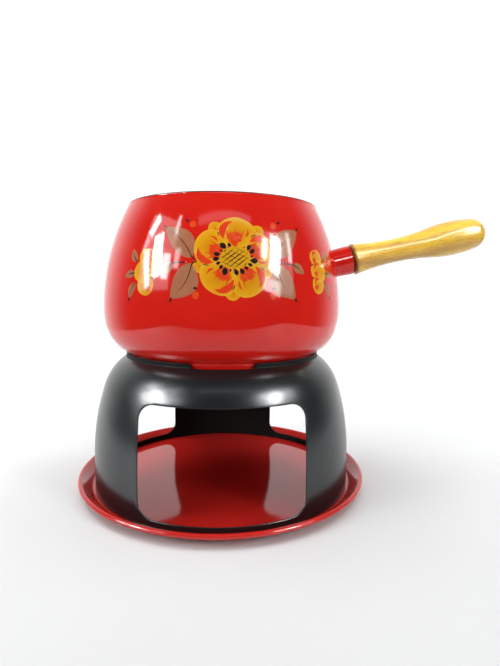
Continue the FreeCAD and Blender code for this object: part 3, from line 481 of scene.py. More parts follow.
class Print:
    """Collects the marks of one ink into one mesh."""

    def __init__(self, name, ink, height):
        self.name, self.ink, self.height = name, ink, height
        self.verts, self.faces, self.uvs, self.soft = [], [], [], []

    def add(self, pts, faces, uv, soft):
        base = len(self.verts)
        self.soft += soft
        self.verts += [tuple(p) for p in pts]
        self.faces += [tuple(base + i for i in f) for f in faces]
        self.uvs += [tuple(x) for x in uv]

    def blob(self, anchor, centre, outline, rings=7, lift=0.0):
        """A mark bounded by a closed outline around its centre."""
        o = np.asarray(outline, dtype=float)
        if np.sum(o[:, 0] * np.roll(o[:, 1], -1) - np.roll(o[:, 0], -1) * o[:, 1]) < 0:
            o = o[::-1]
        n = len(o)
        c = np.asarray(centre, dtype=float)
        edge = max(0.90, 1 - 0.10 / max(1e-3, np.abs(o - c).max()))
        rho = np.append(np.linspace(0, edge, rings)[1:], [edge + (1 - edge) * 0.5, 1.0])
        top_h = self.height + lift
        pts, uv = [], []
        for r in rho:
            q = c + (o - c) * r
            pts.append(on_wall(anchor, q[:, 0], q[:, 1], top_h))
            uv.append(np.stack([np.arange(n) / n, np.full(n, r)], axis=-1))
        q = c + (o - c)
        pts.append(on_wall(anchor, q[:, 0], q[:, 1], -0.03))
        uv.append(np.stack([np.arange(n) / n, np.full(n, 1.0)], axis=-1))
        for r in rho[::-1][1:]:
            q = c + (o - c) * r
            pts.append(on_wall(anchor, q[:, 0], q[:, 1], -0.03))
            uv.append(np.stack([np.arange(n) / n, np.full(n, r)], axis=-1))
        rows = len(pts)
        P = np.concatenate(pts)
        U = np.concatenate(uv)
        tip = on_wall(anchor, np.array([c[0]]), np.array([c[1]]), top_h)
        bot = on_wall(anchor, np.array([c[0]]), np.array([c[1]]), -0.03)
        P = np.concatenate([P, tip, bot])
        U = np.concatenate([U, [[0.0, 0.0], [0.0, 0.0]]])
        a, b = rows * n, rows * n + 1
        f, soft = [], []
        for i in range(n):
            j = (i + 1) % n
            f.append((a, i, j))
            for k in range(rows - 1):
                f.append((k * n + i, (k + 1) * n + i, (k + 1) * n + j, k * n + j))
            f.append((b, (rows - 1) * n + j, (rows - 1) * n + i))
            soft += [True] + [k != rings - 1 for k in range(rows - 1)] + [True]
        self.add(P, f, U, soft)

    def stroke(self, anchor, path, widths, lift=0.0, n=None):
        """A mark along a path, with a half-width at each of its points."""
        path = np.asarray(path, dtype=float)
        t = np.linspace(0, 1, len(path))
        n = n or max(10, int(6 * len(path)))
        tt = np.linspace(0, 1, n)
        px, py = smooth(t, path[:, 0], tt), smooth(t, path[:, 1], tt)
        w = np.maximum(smooth(np.linspace(0, 1, len(widths)), np.array(widths, float), tt), 0.02)
        dx, dy = np.gradient(px), np.gradient(py)
        L = np.hypot(dx, dy)
        nx, ny = -dy / L, dx / L
        top_h = self.height + lift
        section = [(-1.0, -0.03, 1.0), (-1.0, top_h, 1.0), (-0.92, top_h, 0.92), (0.0, top_h, 0.0),
                   (0.92, top_h, 0.92), (1.0, top_h, 1.0), (1.0, -0.03, 1.0)]
        cols = len(section)
        P, U = [], []
        for off, h, e in section:
            P.append(on_wall(anchor, px + nx * off * w, py + ny * off * w, h))
            U.append(np.stack([tt, np.full(n, e)], axis=-1))
        P = np.stack(P, axis=1).reshape(-1, 3)
        U = np.stack(U, axis=1).reshape(-1, 2)
        f = []
        for i in range(n - 1):
            for k in range(cols):
                m2 = (k + 1) % cols
                f.append((i * cols + k, i * cols + m2, (i + 1) * cols + m2, (i + 1) * cols + k))
        f.append(tuple(range(cols - 1, -1, -1)))
        f.append(tuple((n - 1) * cols + k for k in range(cols)))
        f = [q[::-1] for q in f]
        self.add(P, f, U, [1 <= k <= 4 for i in range(n - 1) for k in range(cols)] + [False, False])

    def build(self):
        ob = mesh_object(self.name, self.verts, self.faces, smooth=self.soft, uvs=self.uvs, slots=[self.ink])
        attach(ob, "pot")
        return ob


def smooth(t, y, tt):
    """Catmull-Rom through the points."""
    if len(t) < 3:
        return np.interp(tt, t, y)
    m = np.gradient(y, t)
    i = np.clip(np.searchsorted(t, tt, side="right") - 1, 0, len(t) - 2)
    h = t[i + 1] - t[i]
    x = (tt - t[i]) / h
    return ((2 * x ** 3 - 3 * x ** 2 + 1) * y[i] + (x ** 3 - 2 * x ** 2 + x) * h * m[i]
            + (-2 * x ** 3 + 3 * x ** 2) * y[i + 1] + (x ** 3 - x ** 2) * h * m[i + 1])


def rotate(points, degrees, about=(0, 0)):
    a = math.radians(degrees)
    p = np.asarray(points, dtype=float) - about
    return np.stack([p[:, 0] * math.cos(a) - p[:, 1] * math.sin(a),
                     p[:, 0] * math.sin(a) + p[:, 1] * math.cos(a)], axis=-1) + about


petals = Print("print_petals", ink_petal, 0.026)
petals_front = Print("print_petals_front", ink_petal, 0.040)
brushes = Print("print_brush_marks", ink_brush, 0.056)
hearts = Print("print_hearts", ink_heart, 0.064)
leaves = Print("print_leaves", ink_leaf, 0.022)
lines = Print("print_lines", ink_black, 0.072)
dots = Print("print_dots", ink_dot, 0.036)


def petal_outline(length, width, root, notch=0.0, n=56, wobble=0.0, seed=0):
    """Rounded petal growing along +v from its root; its centre is returned too."""
    rng = np.random.RandomState(seed)
    a = np.linspace(0, 2 * np.pi, n, endpoint=False)
    u = np.sin(a) * width / 2
    v = root + (1 - np.cos(a)) / 2 * length
    # narrow the root half
    k = np.clip((v - root) / length, 0, 1)
    u = u * (0.52 + 0.48 * np.clip(k / 0.55, 0, 1) ** 0.8)
    v = v - notch * np.exp(-(u / (width * 0.11)) ** 2) * (k > 0.6)
    ph = rng.uniform(0, 6.28, 3)
    r = 1 + wobble * (np.sin(3 * a + ph[0]) + 0.6 * np.sin(5 * a + ph[1]))
    c = np.array([0.0, root + length * 0.55])
    o = np.stack([u, v], axis=-1)
    o = c + (o - c) * r[:, None]
    return o, c


def blossom(anchor, scale, turn, count=5):
    order = sorted(range(count), key=lambda i: (i % 2, i))
    for rank, i in enumerate(order):
        ang = turn + i * 360.0 / count
        o, c = petal_outline(21.0 * scale, 25.0 * scale, 5.2 * scale, 0.0, wobble=0.018, seed=i + 3)
        o = rotate(o, ang)
        c = rotate([c], ang)[0]
        target = petals if rank < 3 else petals_front
        target.blob(anchor, c, o, rings=9, lift=0.0035 * (rank % 3))
    for i in range(count):                    # small petals seen between the large ones
        ang = turn + (i + 0.5) * 360.0 / count
        o, c = petal_outline(9.5 * scale, 9.0 * scale, 17.0 * scale, 0.0, wobble=0.02, seed=i + 20)
        sepal.blob(anchor, rotate([c], ang)[0], rotate(o, ang), rings=6)
        lo, lc = petal_outline(3.2 * scale, 3.0 * scale, 18.6 * scale, 0.0, wobble=0.05, seed=i + 40)
        sepal_mark.blob(anchor, rotate([lc], ang)[0], rotate(lo, ang), rings=4)
    for i in range(count):
        ang = turn + i * 360.0 / count
        # a curved mark along one flank and a broken patch over the root
        flank = rotate([(-7.9 * scale, 11.2 * scale), (-8.7 * scale, 16.6 * scale),
                        (-6.4 * scale, 21.4 * scale), (-2.6 * scale, 23.3 * scale)], ang)
        brushes.stroke(anchor, flank, [0.2, 2.0 * scale, 2.3 * scale, 1.3 * scale, 0.1], n=34)
        patch, pc = petal_outline(9.8 * scale, 10.6 * scale, 7.2 * scale, 0.0, wobble=0.09, seed=i + 60)
        brushes.blob(anchor, rotate([pc], ang + 4)[0], rotate(patch, ang + 4), rings=6)
        for k in (-2, -1, 0, 1, 2):           # short strokes fanning out of the patch
            reach = 16.6 + (1.6, -0.6, 2.2, 0.2, 1.2)[(k + 2 + i) % 5]
            fan = rotate([(k * 1.55 * scale, 11.0 * scale), (k * 2.15 * scale, 14.0 * scale),
                          (k * 2.95 * scale, reach * scale)], ang + 4)
            brushes.stroke(anchor, fan, [0.5 * scale, 0.72 * scale, 0.45 * scale, 0.06], lift=0.002, n=16)
        flick = rotate([(5.6 * scale, 13.5 * scale), (7.1 * scale, 16.2 * scale),
                        (6.9 * scale, 19.4 * scale)], ang)
        brushes.stroke(anchor, flick, [0.1, 0.75 * scale, 0.55 * scale, 0.1], n=22)
    # black ticks where petals meet
    for i in range(count):
        ang = turn + (i + 0.5) * 360.0 / count
        tick = rotate([(-0.9 * scale, 16.6 * scale), (-0.2 * scale, 18.8 * scale),
                       (0.9 * scale, 20.6 * scale)], ang)
        lines.stroke(anchor, tick, [0.08, 0.34 * scale, 0.24 * scale, 0.06], n=16)
    # heart: a tilted oval, hatched, with a fringe of teardrops
    a = np.linspace(0, 2 * np.pi, 60, endpoint=False)
    ea, eb, lean = 9.6 * scale, 6.9 * scale, 8.0
    oval = rotate(np.stack([ea * np.cos(a), eb * np.sin(a)], axis=-1), lean)
    hearts.blob(anchor, (0, 0), oval, rings=6)
    for slope, gap, w in ((38.0, 2.35 * scale, 0.26), (-24.0, 2.9 * scale, 0.12)):
        for k in range(-4, 5):
            off = k * gap
            d = np.array([math.cos(math.radians(slope)), math.sin(math.radians(slope))])
            nrm = np.array([-d[1], d[0]])
            t = np.linspace(-14 * scale, 14 * scale, 113)
            q = nrm * off + t[:, None] * d
            back = rotate(q, -lean)
            inside = (back[:, 0] / (ea * 0.94)) ** 2 + (back[:, 1] / (eb * 0.92)) ** 2 < 1
            if inside.sum() < 8:
                continue
            q = q[inside]
            q = q[::max(1, len(q) // 7)]
            if len(q) < 3:
                continue
            lines.stroke(anchor, q, [0.05, w * scale, w * 1.25 * scale, w * scale, 0.05], n=30)
    fringe = 17
    for k in range(fringe):
        ang = 100 + k * (292.0 / (fringe - 1))
        dx, dy = math.cos(math.radians(ang)), math.sin(math.radians(ang))
        base = rotate([(ea * 1.01 * dx, eb * 1.02 * dy)], lean)[0]
        size = (1.5 + 0.65 * math.sin(k * 2.1) + 0.5 * (k % 2)) * scale
        dirn = np.array([dx, dy * 1.25])
        dirn = dirn / np.linalg.norm(dirn)
        side = np.array([-dirn[1], dirn[0]]) * 0.35 * size
        lines.stroke(anchor, [base, base + dirn * size * 0.9 + side, base + dirn * size * 1.9 + side * 2.2],
                     [0.18 * scale, 0.62 * size * 0.9, 0.74 * size * 0.9, 0.12], n=20)


sepal = Print("print_sepals", ink_petal, 0.018)
sepal_mark = Print("print_sepal_marks", ink_brush, 0.023)


def leaf(anchor, base, tip, width, bend=0.0, vein=True, stalk=None, mark=True):
    base, tip = np.array(base, float), np.array(tip, float)
    d = tip - base
    L = np.linalg.norm(d)
    d = d / L
    nrm = np.array([-d[1], d[0]])
    n = 30
    t = np.linspace(0, 1, n)
    half = width / 2 * np.sin(np.pi * t ** 0.88) ** 0.78 * (1 - 0.10 * t)
    half[0] = half[-1] = 0.0
    mid = base + np.outer(t * L, d) + np.outer(bend * np.sin(np.pi * t), nrm)
    left = mid + nrm * half[:, None]
    right = mid - nrm * half[:, None]
    outline = np.concatenate([left, right[::-1][1:-1]])
    leaves.blob(anchor, mid[n // 2], outline, rings=7)
    if vein:
        k = [0, n // 5, 2 * n // 5, 3 * n // 5, int(n * 0.80)]
        path = [mid[i] for i in k]
        if stalk is not None:
            path = [np.array(stalk, float)] + path
        lines.stroke(anchor, path, [0.42, 0.36, 0.30, 0.22, 0.12, 0.04], n=44)
    if mark:
        e = tip - d * 0.4
        lines.stroke(anchor, [e - d * 0.2, e + d * 1.6 + nrm * 0.3, e + d * 3.0 + nrm * 0.2],
                     [0.25, 0.72, 0.55, 0.10], n=16)


def side_bloom(anchor, flip):
    """Half-open bloom: three rounded petals stacked, opening outwards."""
    specs = [((0.6, 9.4), 13.6, 12.2, 20), ((0.0, -9.4), 13.6, 12.8, 160), ((1.8, 0.2), 18.0, 15.8, 90)]
    for k, (c, w, h, ang) in enumerate(specs):
        a = np.linspace(0, 2 * np.pi, 48, endpoint=False)
        o = np.stack([w / 2 * np.cos(a), h / 2 * np.sin(a)], axis=-1)
        o = o * (1 + 0.03 * np.sin(3 * a + k))[:, None]
        o = rotate(o, 12 * (1 - k))
        o[:, 0] *= flip
        cc = np.array([c[0] * flip, c[1]])
        (petals_front if k == 2 else petals).blob(anchor, cc, o + cc, rings=7, lift=0.004 * k)
        arc = [(-w * 0.30 * flip, h * 0.05), (-w * 0.16 * flip, h * 0.30), (w * 0.10 * flip, h * 0.33)]
        brushes.stroke(anchor, np.array(arc) + cc, [0.1, 1.05, 1.2, 0.1], n=24)
        patch, pc = petal_outline(4.6, 4.4, -2.6, 0.0, wobble=0.08, seed=80 + k)
        patch = patch + cc + np.array([-w * 0.18 * flip, -h * 0.12])
        brushes.blob(anchor, patch.mean(axis=0), patch, rings=5)
    lines.stroke(anchor, [(-7.4 * flip, 3.9), (-5.2 * flip, 4.3), (-3.6 * flip, 5.6)], [0.08, 0.38, 0.08], n=14)
    lines.stroke(anchor, [(-7.0 * flip, -4.6), (-4.9 * flip, -4.4), (-3.2 * flip, -5.5)], [0.08, 0.38, 0.08], n=14)


def dot(anchor, centre, r, seed):
    rng = np.random.RandomState(seed)
    a = np.linspace(0, 2 * np.pi, 26, endpoint=False)
    rr = r * (1 + 0.07 * np.sin(2 * a + rng.uniform(0, 6)) + 0.05 * np.sin(3 * a + rng.uniform(0, 6)))
    o = np.stack([rr * np.cos(a), rr * np.sin(a)], axis=-1) + centre
    dots.blob(anchor, centre, o, rings=4)


MID = (4.8, 179.6)
blossom(MID, 1.04, -4.0)
K = math.radians(1) * 90.0          # mm round the wall per degree, near the anchor
for side in (-1, 1):
    root = (side * 27.0, -1.6)
    leaf(MID, (side * 27.5, 0.2), (side * 45.5, 20.5), 16.5, bend=side * 2.4, stalk=(side * 24.5, -2.2))
    leaf(MID, (side * 27.5, -4.0), (side * 42.0, -26.5), 17.5, bend=-side * 2.6, stalk=(side * 24.5, -2.8))
    leaf(MID, (side * 40.5, -3.6), (side * 50.5, -9.5), 7.0, bend=0.4, stalk=(side * 31.5, -3.0), mark=False)
    dot(MID, (side * 26.6, 22.4), 2.2, 5 + side)
    dot(MID, (side * 25.4, -24.2), 2.3, 9 + side)
    lines.stroke(MID, [(side * 31.4, 26.2), (side * 30.6, 24.9), (side * 29.4, 24.2)], [0.12, 0.62, 0.66, 0.12], n=14)
    lines.stroke(MID, [(side * 24.2, -20.2), (side * 25.6, -19.6), (side * 27.0, -20.0)], [0.12, 0.62, 0.66, 0.12],
                 n=14)
    bloom = ((-33.0, 170.8), (45.2, 172.2))[side > 0]
    side_bloom(bloom, side)
    leaf(bloom, (side * 9.6, 6.6), (side * 15.0, 15.6), 6.0, bend=-side * 0.8, mark=False)
    leaf(bloom, (side * 10.6, -1.0), (side * 20.5, -3.4), 5.6, bend=side * 0.5, mark=False)
    leaf(bloom, (side * 9.4, -7.6), (side * 14.8, -18.0), 6.2, bend=side * 0.8)
for group in (petals, petals_front, sepal, sepal_mark, brushes, hearts, leaves, lines, dots):
    group.build()

# ================================================================ the stand
SS = 1.0
EDGE = SS / 2
C1 = (104.4 - 190.5, 26.1)
SW = math.radians(17.36)
E1 = (C1[0] + 190.5 * math.cos(SW), C1[1] + 190.5 * math.sin(SW))
C2 = (E1[0] - 42.26 * math.cos(SW), E1[1] - 42.26 * math.sin(SW))
COLLAR_R, COLLAR_TOP, BEND = 78.5, 108.95, 1.2
# concave bend between shoulder and collar: its circle lies outside the wall
bx = COLLAR_R + BEND
bz = C2[1] + math.sqrt((42.26 + BEND) ** 2 - (bx - C2[0]) ** 2)
a_in = math.atan2(C2[1] - bz, C2[0] - bx)


def stand_outer():
    """(r, z, nr, nz) for the first few rows of the outer wall, at the foot."""
    rows = []
    for z in (1.6 + EDGE, 2.4, 3.4, 4.6, 5.8):
        rows.append((104.4, z, 1, 0))
    return rows


def stand_wall(z):
    """Outer radius and normal at a height, below the shoulder's bend."""
    if z <= 26.1:
        return 104.4, 1.0, 0.0
    if z <= E1[1]:
        a = math.asin((z - C1[1]) / 190.5)
        return C1[0] + 190.5 * math.cos(a), math.cos(a), math.sin(a)
    a = math.asin(min(1.0, (z - C2[1]) / 42.26))
    return C2[0] + 42.26 * math.cos(a), math.cos(a), math.sin(a)


SILL, HEAD = 7.2 - EDGE, 82.6 + EDGE
WS, WH, RS, RH = 57.1 + EDGE, 56.8 + EDGE, 10.5 + EDGE, 11.0 + EDGE
lo_c, hi_c = (WS - RS, SILL + RS), (WH - RH, HEAD - RH)
_d = math.hypot(hi_c[0] - lo_c[0], hi_c[1] - lo_c[1])
_al = math.atan2(hi_c[1] - lo_c[1], hi_c[0] - lo_c[0]) - math.acos((RS - RH) / _d)
z_lo, x_lo = lo_c[1] + RS * math.sin(_al), lo_c[0] + RS * math.cos(_al)
z_hi, x_hi = hi_c[1] + RH * math.sin(_al), hi_c[0] + RH * math.cos(_al)


def window_half(z):
    """Half-width of the window at a height (mm, square to its facing direction)."""
    if z <= z_lo:
        return lo_c[0] + math.sqrt(max(RS ** 2 - (lo_c[1] - z) ** 2, 0))
    if z >= z_hi:
        return hi_c[0] + math.sqrt(max(RH ** 2 - (z - hi_c[1]) ** 2, 0))
    return x_lo + (x_hi - x_lo) * (z - z_lo) / (z_hi - z_lo)


heights = [1.6 + EDGE, 2.6, 3.6, 4.8, 5.8]
heights += [SILL + RS * (1 - math.cos(a)) for a in np.linspace(0, math.radians(88), 13)]
z0_, z1_ = heights[-1], HEAD - RH * (1 - math.cos(math.radians(88)))
heights += list(np.linspace(z0_, z1_, 22))[1:]
heights += [HEAD - RH * (1 - math.cos(a)) for a in np.linspace(math.radians(88), 0, 13)][1:]
i_sill = 5
i_head = len(heights) - 1
rows = [(stand_wall(z)[0], z, stand_wall(z)[1], stand_wall(z)[2]) for z in heights]
# above the windows: shoulder, bend and collar by arc
a_h = math.asin((HEAD - C2[1]) / 42.26) if HEAD > E1[1] else None
if a_h is None:
    a0 = math.asin((HEAD - C1[1]) / 190.5)
    for a in np.linspace(a0, SW, 3)[1:]:
        rows.append((C1[0] + 190.5 * math.cos(a), C1[1] + 190.5 * math.sin(a), math.cos(a), math.sin(a)))
    a_h = SW
a_end = a_in + math.pi
for a in np.linspace(a_h, a_end, 22)[1:]:
    rows.append((C2[0] + 42.26 * math.cos(a), C2[1] + 42.26 * math.sin(a), math.cos(a), math.sin(a)))
i_notch = None
for a in np.linspace(a_in, -math.pi, 7)[1:] if a_in < 0 else np.linspace(a_in, math.pi, 7)[1:]:
    rows.append((bx + BEND * math.cos(a), bz + BEND * math.sin(a), -math.cos(a), -math.sin(a)))
NOTCH_Z = 105.7 - EDGE
i_collar = len(rows) - 6
for z in np.linspace(rows[-1][1], COLLAR_TOP - EDGE, 6)[1:]:
    rows.append((COLLAR_R, z, 1.0, 0.0))
rows_z = [r[1] for r in rows]
# the notch starts at the first row at or above its floor
i_notch = min(i for i, r in enumerate(rows) if i > i_head and r[1] >= NOTCH_Z - 0.35)
rows[i_notch] = (rows[i_notch][0], rows[i_notch][1], rows[i_notch][2], rows[i_notch][3])

FACING = [math.radians(a) for a in (0.0, 118.1, 241.9)]      # the windows' facing directions
GAPS = [math.radians(a) for a in (118.1, 123.8, 118.1)]
NW, NP = 40, 36                    # columns over a window and over a pillar
NA, NB = 8, 8                      # of the window's, those outside the notch on each side


def theta_breaks(i):
    """Window half-angle and notch half-angle (radians) for a row."""
    r, z = rows[i][0], rows[i][1]
    if i_sill <= i <= i_head:
        w = math.asin(window_half(z) / r)
    elif i < i_sill:
        w = math.asin(window_half(SILL) / r)
    else:
        f = (i - i_head) / (len(rows) - 1 - i_head)
        w0 = math.asin(window_half(HEAD) / rows[i_head][0])
        w = w0 + (math.radians(33.0) - w0) * f
    f = 0.0 if i <= i_head else min(1.0, (i - i_head) / max(1, i_notch - i_head))
    n_head = w * (NW - NA - NB) / NW
    if i < i_notch:
        nn = n_head + (math.asin((20.0 + EDGE) / COLLAR_R) - n_head) * (f ** 1.5)
    else:
        g = (z - NOTCH_Z) / (COLLAR_TOP - NOTCH_Z)
        nn = math.asin((20.0 + EDGE + 3.0 * max(0.0, g)) / COLLAR_R)
    return w, nn


def columns(i):
    w, nn = theta_breaks(i)
    inner_n = NW - NA - NB
    part = np.concatenate([np.linspace(-w, -nn, NA + 1)[:-1], np.linspace(-nn, nn, inner_n + 1)[:-1],
                           np.linspace(nn, w, NB + 1)[:-1]])
    return np.concatenate([np.concatenate([c + part, np.linspace(c + w, c + gap - w, NP + 1)[:-1]])
                           for c, gap in zip(FACING, GAPS)])


NC = 3 * (NW + NP)
NR = len(rows)
grid = np.zeros((NR, NC, 3))
nrm = np.zeros((NR, NC, 3))
for i in range(NR):
    th = columns(i)
    r, z, nr, nz = rows[i]
    grid[i] = np.stack([r * np.sin(th), -r * np.cos(th), np.full(NC, z)], axis=-1)
    nrm[i] = np.stack([nr * np.sin(th), -nr * np.cos(th), np.full(NC, nz)], axis=-1)
    nrm[i] /= np.linalg.norm(nrm[i], axis=1)[:, None]


def open_cell(i, j):
    """Cells that are cut away: i is the row band, j the column."""
    k = j % (NW + NP)
    if i_sill <= i < i_head and k < NW:
        return True
    return i >= i_notch and NA <= k < NW - NB


sv, sf = [], []
index = {}


def vert(key, co):
    if key not in index:
        index[key] = len(sv)
        sv.append(co)
    return index[key]


used = [[False] * NC for _ in range(NR)]
edges = {}
shade_slots = []
for i in range(NR - 1):
    for j in range(NC):
        if open_cell(i, j):
            continue
        # painted shade: the collar's outside faces and every inside face take the darker, dull black
        shade_slots += [1 if i >= i_collar else 0, 1]      # the face outside, then the one inside
        j2 = (j + 1) % NC
        quad = [(i, j), (i, j2), (i + 1, j2), (i + 1, j)]
        sf.append([vert(("o",) + q, grid[q]) for q in quad])
        sf.append([vert(("i",) + q, grid[q] - nrm[q] * SS) for q in reversed(quad)])
        for a, b in zip(quad, quad[1:] + quad[:1]):
            edges[(a, b)] = True
border = [e for e in edges if (e[1], e[0]) not in edges]
push = {}
for a, b in border:                     # the way out of the sheet, in its surface, at each border point
    t = grid[b] - grid[a]
    t = t / max(np.linalg.norm(t), 1e-9)
    for p in (a, b):
        push.setdefault(p, np.zeros(3))
        push[p] += np.cross(t, nrm[p])
for p in push:
    push[p] = push[p] / np.linalg.norm(push[p])
LIP = 6
for a, b in border:
    ring_a, ring_b = [], []
    for k in range(LIP + 1):
        ang = math.pi * k / LIP
        for p, ring in ((a, ring_a), (b, ring_b)):
            if k == 0:
                ring.append(vert(("o",) + p, None))
            elif k == LIP:
                ring.append(vert(("i",) + p, None))
            else:
                mid = grid[p] - nrm[p] * EDGE
                co = mid + EDGE * (math.cos(ang) * nrm[p] + math.sin(ang) * push[p])
                ring.append(vert(("l", k) + p, co))
    for k in range(LIP):
        sf.append([ring_a[k], ring_a[k + 1], ring_b[k + 1], ring_b[k]])
        # painted shade: the collar's lip and the inner half of every lip take the darker, dull black
        shade_slots.append(1 if min(a[0], b[0]) >= i_collar or k >= LIP // 2 else 0)
stand = mesh_object("stand_spun_shell", sv, sf, slots=[stand_black, painted_shade_mat], face_slots=shade_slots)
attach(stand, "stand")
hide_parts("stand_shell")

# ================================================================= the tray
TC, TH, TR = 115.7, 7.6, 1.8
reach = math.hypot(TC - 106.7, TH - 1.6)
slope = math.atan2(TH - 1.6, TC - 106.7) + math.asin(TR / reach)
ux, uy = math.cos(slope), math.sin(slope)
foot_r = 106.7 + 1.6 * uy - (1.6 - 1.6 * ux) / uy * ux


def corner_arc(cx, cy, turn, radius, outside, n):
    """Fillet points for a corner at (cx, cy) between a level line from the axis and a line rising
    at angle turn."""
    cut = radius * math.tan(turn / 2)
    centre = (cx - cut, cy + radius)
    return arc_points(centre[0], centre[1], radius, -90, -90 + D(turn), n)


tp = [(0, 0.0)] + [(r, 0.0) for r in (30, 60, 85, 100)]
tp += corner_arc(foot_r, 0.0, slope, 4.0, True, 9)
off = 0.2
foot_pt = (TC + off * uy, TH - off * ux)
half_chord = math.sqrt(TR ** 2 - off ** 2)
join = (foot_pt[0] - half_chord * ux, foot_pt[1] - half_chord * uy)
a_join = D(math.atan2(join[1] - TH, join[0] - TC))
top_pt = (TC - TR * uy, TH + TR * ux)
a_top = D(math.atan2(top_pt[1] - TH, top_pt[0] - TC))
last = tp[-1]
tp += [(last[0] + (join[0] - last[0]) * f, last[1] + (join[1] - last[1]) * f) for f in (0.35, 0.7, 0.93)]
tp += arc_points(TC, TH, TR, a_join, a_top, 26)
ic = corner_arc(106.7, 1.6, slope, 2.4, False, 9)[::-1]
tp += [(top_pt[0] + (ic[0][0] - top_pt[0]) * f, top_pt[1] + (ic[0][1] - top_pt[1]) * f) for f in (0.12, 0.5, 0.85)]
tp += ic
DISH = 1.0
tp += [(r, 1.6 - DISH * math.exp(-(r / 45.0) ** 2)) for r in np.linspace(102, 0, 35)]
verts, faces, step = lathe(tp, 320)
tray = mesh_object("tray_pressed", verts, faces, slots=[tray_red])
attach(tray, "tray")
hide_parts("tray")

# =============================================================== the handle


def lay(points):
    """(s, y, t): station along the handle axis, sideways, crosswise -> frame, in mm."""
    return [tuple(APEX + LEAN * p[0] + SIDE * p[1] + CROWN * p[2]) for p in points]


def lathe_on_axis(profile, segments):
    v, f, _ = lathe([(r, s) for s, r in profile], segments)
    return lay([(p[2], p[0], p[1]) for p in v]), f


NX, GE = 146.07, 13.4
X0 = 109.7
RN2, RB2, RD = 184.27, 102.04, 12.8
XE = 225.3
NY = GE + math.sqrt(RN2 ** 2 - (NX - X0) ** 2)
DOME = (XE - RD, 0.0)
dd = math.hypot(DOME[0] - NX, DOME[1] - NY)
ra, rb_ = RN2 + RB2, RB2 - RD
al_ = (ra ** 2 - rb_ ** 2 + dd ** 2) / (2 * dd)
hl_ = math.sqrt(ra ** 2 - al_ ** 2)
vx, vy = (DOME[0] - NX) / dd, (DOME[1] - NY) / dd
CBG = min([(NX + al_ * vx + k * hl_ * -vy, NY + al_ * vy + k * hl_ * vx) for k in (1, -1)], key=lambda c: c[0])
K1 = (NX + (CBG[0] - NX) * RN2 / ra, NY + (CBG[1] - NY) * RN2 / ra)
K2 = (DOME[0] + (DOME[0] - CBG[0]) * RD / rb_, DOME[1] + (DOME[1] - CBG[1]) * RD / rb_)


def angle(c, p):
    return D(math.atan2(p[1] - c[1], p[0] - c[0]))


gp = [(142.2, 0.0), (142.2, 3.0), (X0 + 0.4, 3.0), (X0, 3.4), (X0, 7.0), (X0, 10.4)]
gp += arc_points(X0 + 2.4, GE - 0.55 - 2.2, 2.4, 180, 97, 9)[0:]
neck = arc_points(NX, NY, RN2, angle((NX, NY), (X0, GE)), angle((NX, NY), K1), 46)
gp += [p for p in neck if p[0] > X0 + 2.9]
gp += arc_points(CBG[0], CBG[1], RB2, angle(CBG, K1), angle(CBG, K2), 30)[1:]
gp += arc_points(DOME[0], DOME[1], RD, angle(DOME, K2), 0, 22)[1:]
gp[-1] = (XE, 0.0)
gv, gf = lathe_on_axis(gp, 112)
grip = mesh_object("handle_turned_grip", gv, gf, slots=[grip_wood])
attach(grip, "handle")
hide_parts("handle_grip")

# stud with a real thread form, 1 mm pitch
S0, S1, PITCH = 98.5, 141.2, 1.0
seg, per = 36, 8
ns = int((S1 - S0) / PITCH * per) + 1
st = np.linspace(S0, S1, ns)
th = np.linspace(0, 2 * np.pi, seg, endpoint=False)
SSs, TT = np.meshgrid(st, th, indexing="ij")
phase = np.mod((SSs - S0) / PITCH - TT / (2 * np.pi), 1.0)
depth = np.clip(np.abs(phase - 0.5) * 2 * 1.25 - 0.12, 0, 1)
rad = 3.0 - 0.55 * depth
cham = np.minimum(SSs - S0, S1 - SSs)
rad = np.minimum(rad, 2.3 + cham)
pts = np.stack([SSs, rad * np.cos(TT), rad * np.sin(TT)], axis=-1).reshape(-1, 3).tolist()
fs = []
for i in range(ns - 1):
    for j in range(seg):
        j2 = (j + 1) % seg
        fs.append((i * seg + j, (i + 1) * seg + j, (i + 1) * seg + j2, i * seg + j2))
pts += [(S0, 0, 0), (S1, 0, 0)]
for j in range(seg):
    j2 = (j + 1) % seg
    fs.append((len(pts) - 2, j, j2))
    fs.append((len(pts) - 1, (ns - 1) * seg + j2, (ns - 1) * seg + j))
stud = mesh_object("handle_threaded_stud", lay(pts), [q[::-1] for q in fs], slots=[stud_steel])
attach(stud, "handle")
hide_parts("handle_stud")

# bead of enamel over the weld between socket and pot
SR0, SR1, SE0 = 11.2, 12.0, 108.7


def socket_radius(s):
    return SR0 + (SR1 - SR0) * (s - 88.6) / (SE0 - 88.6)


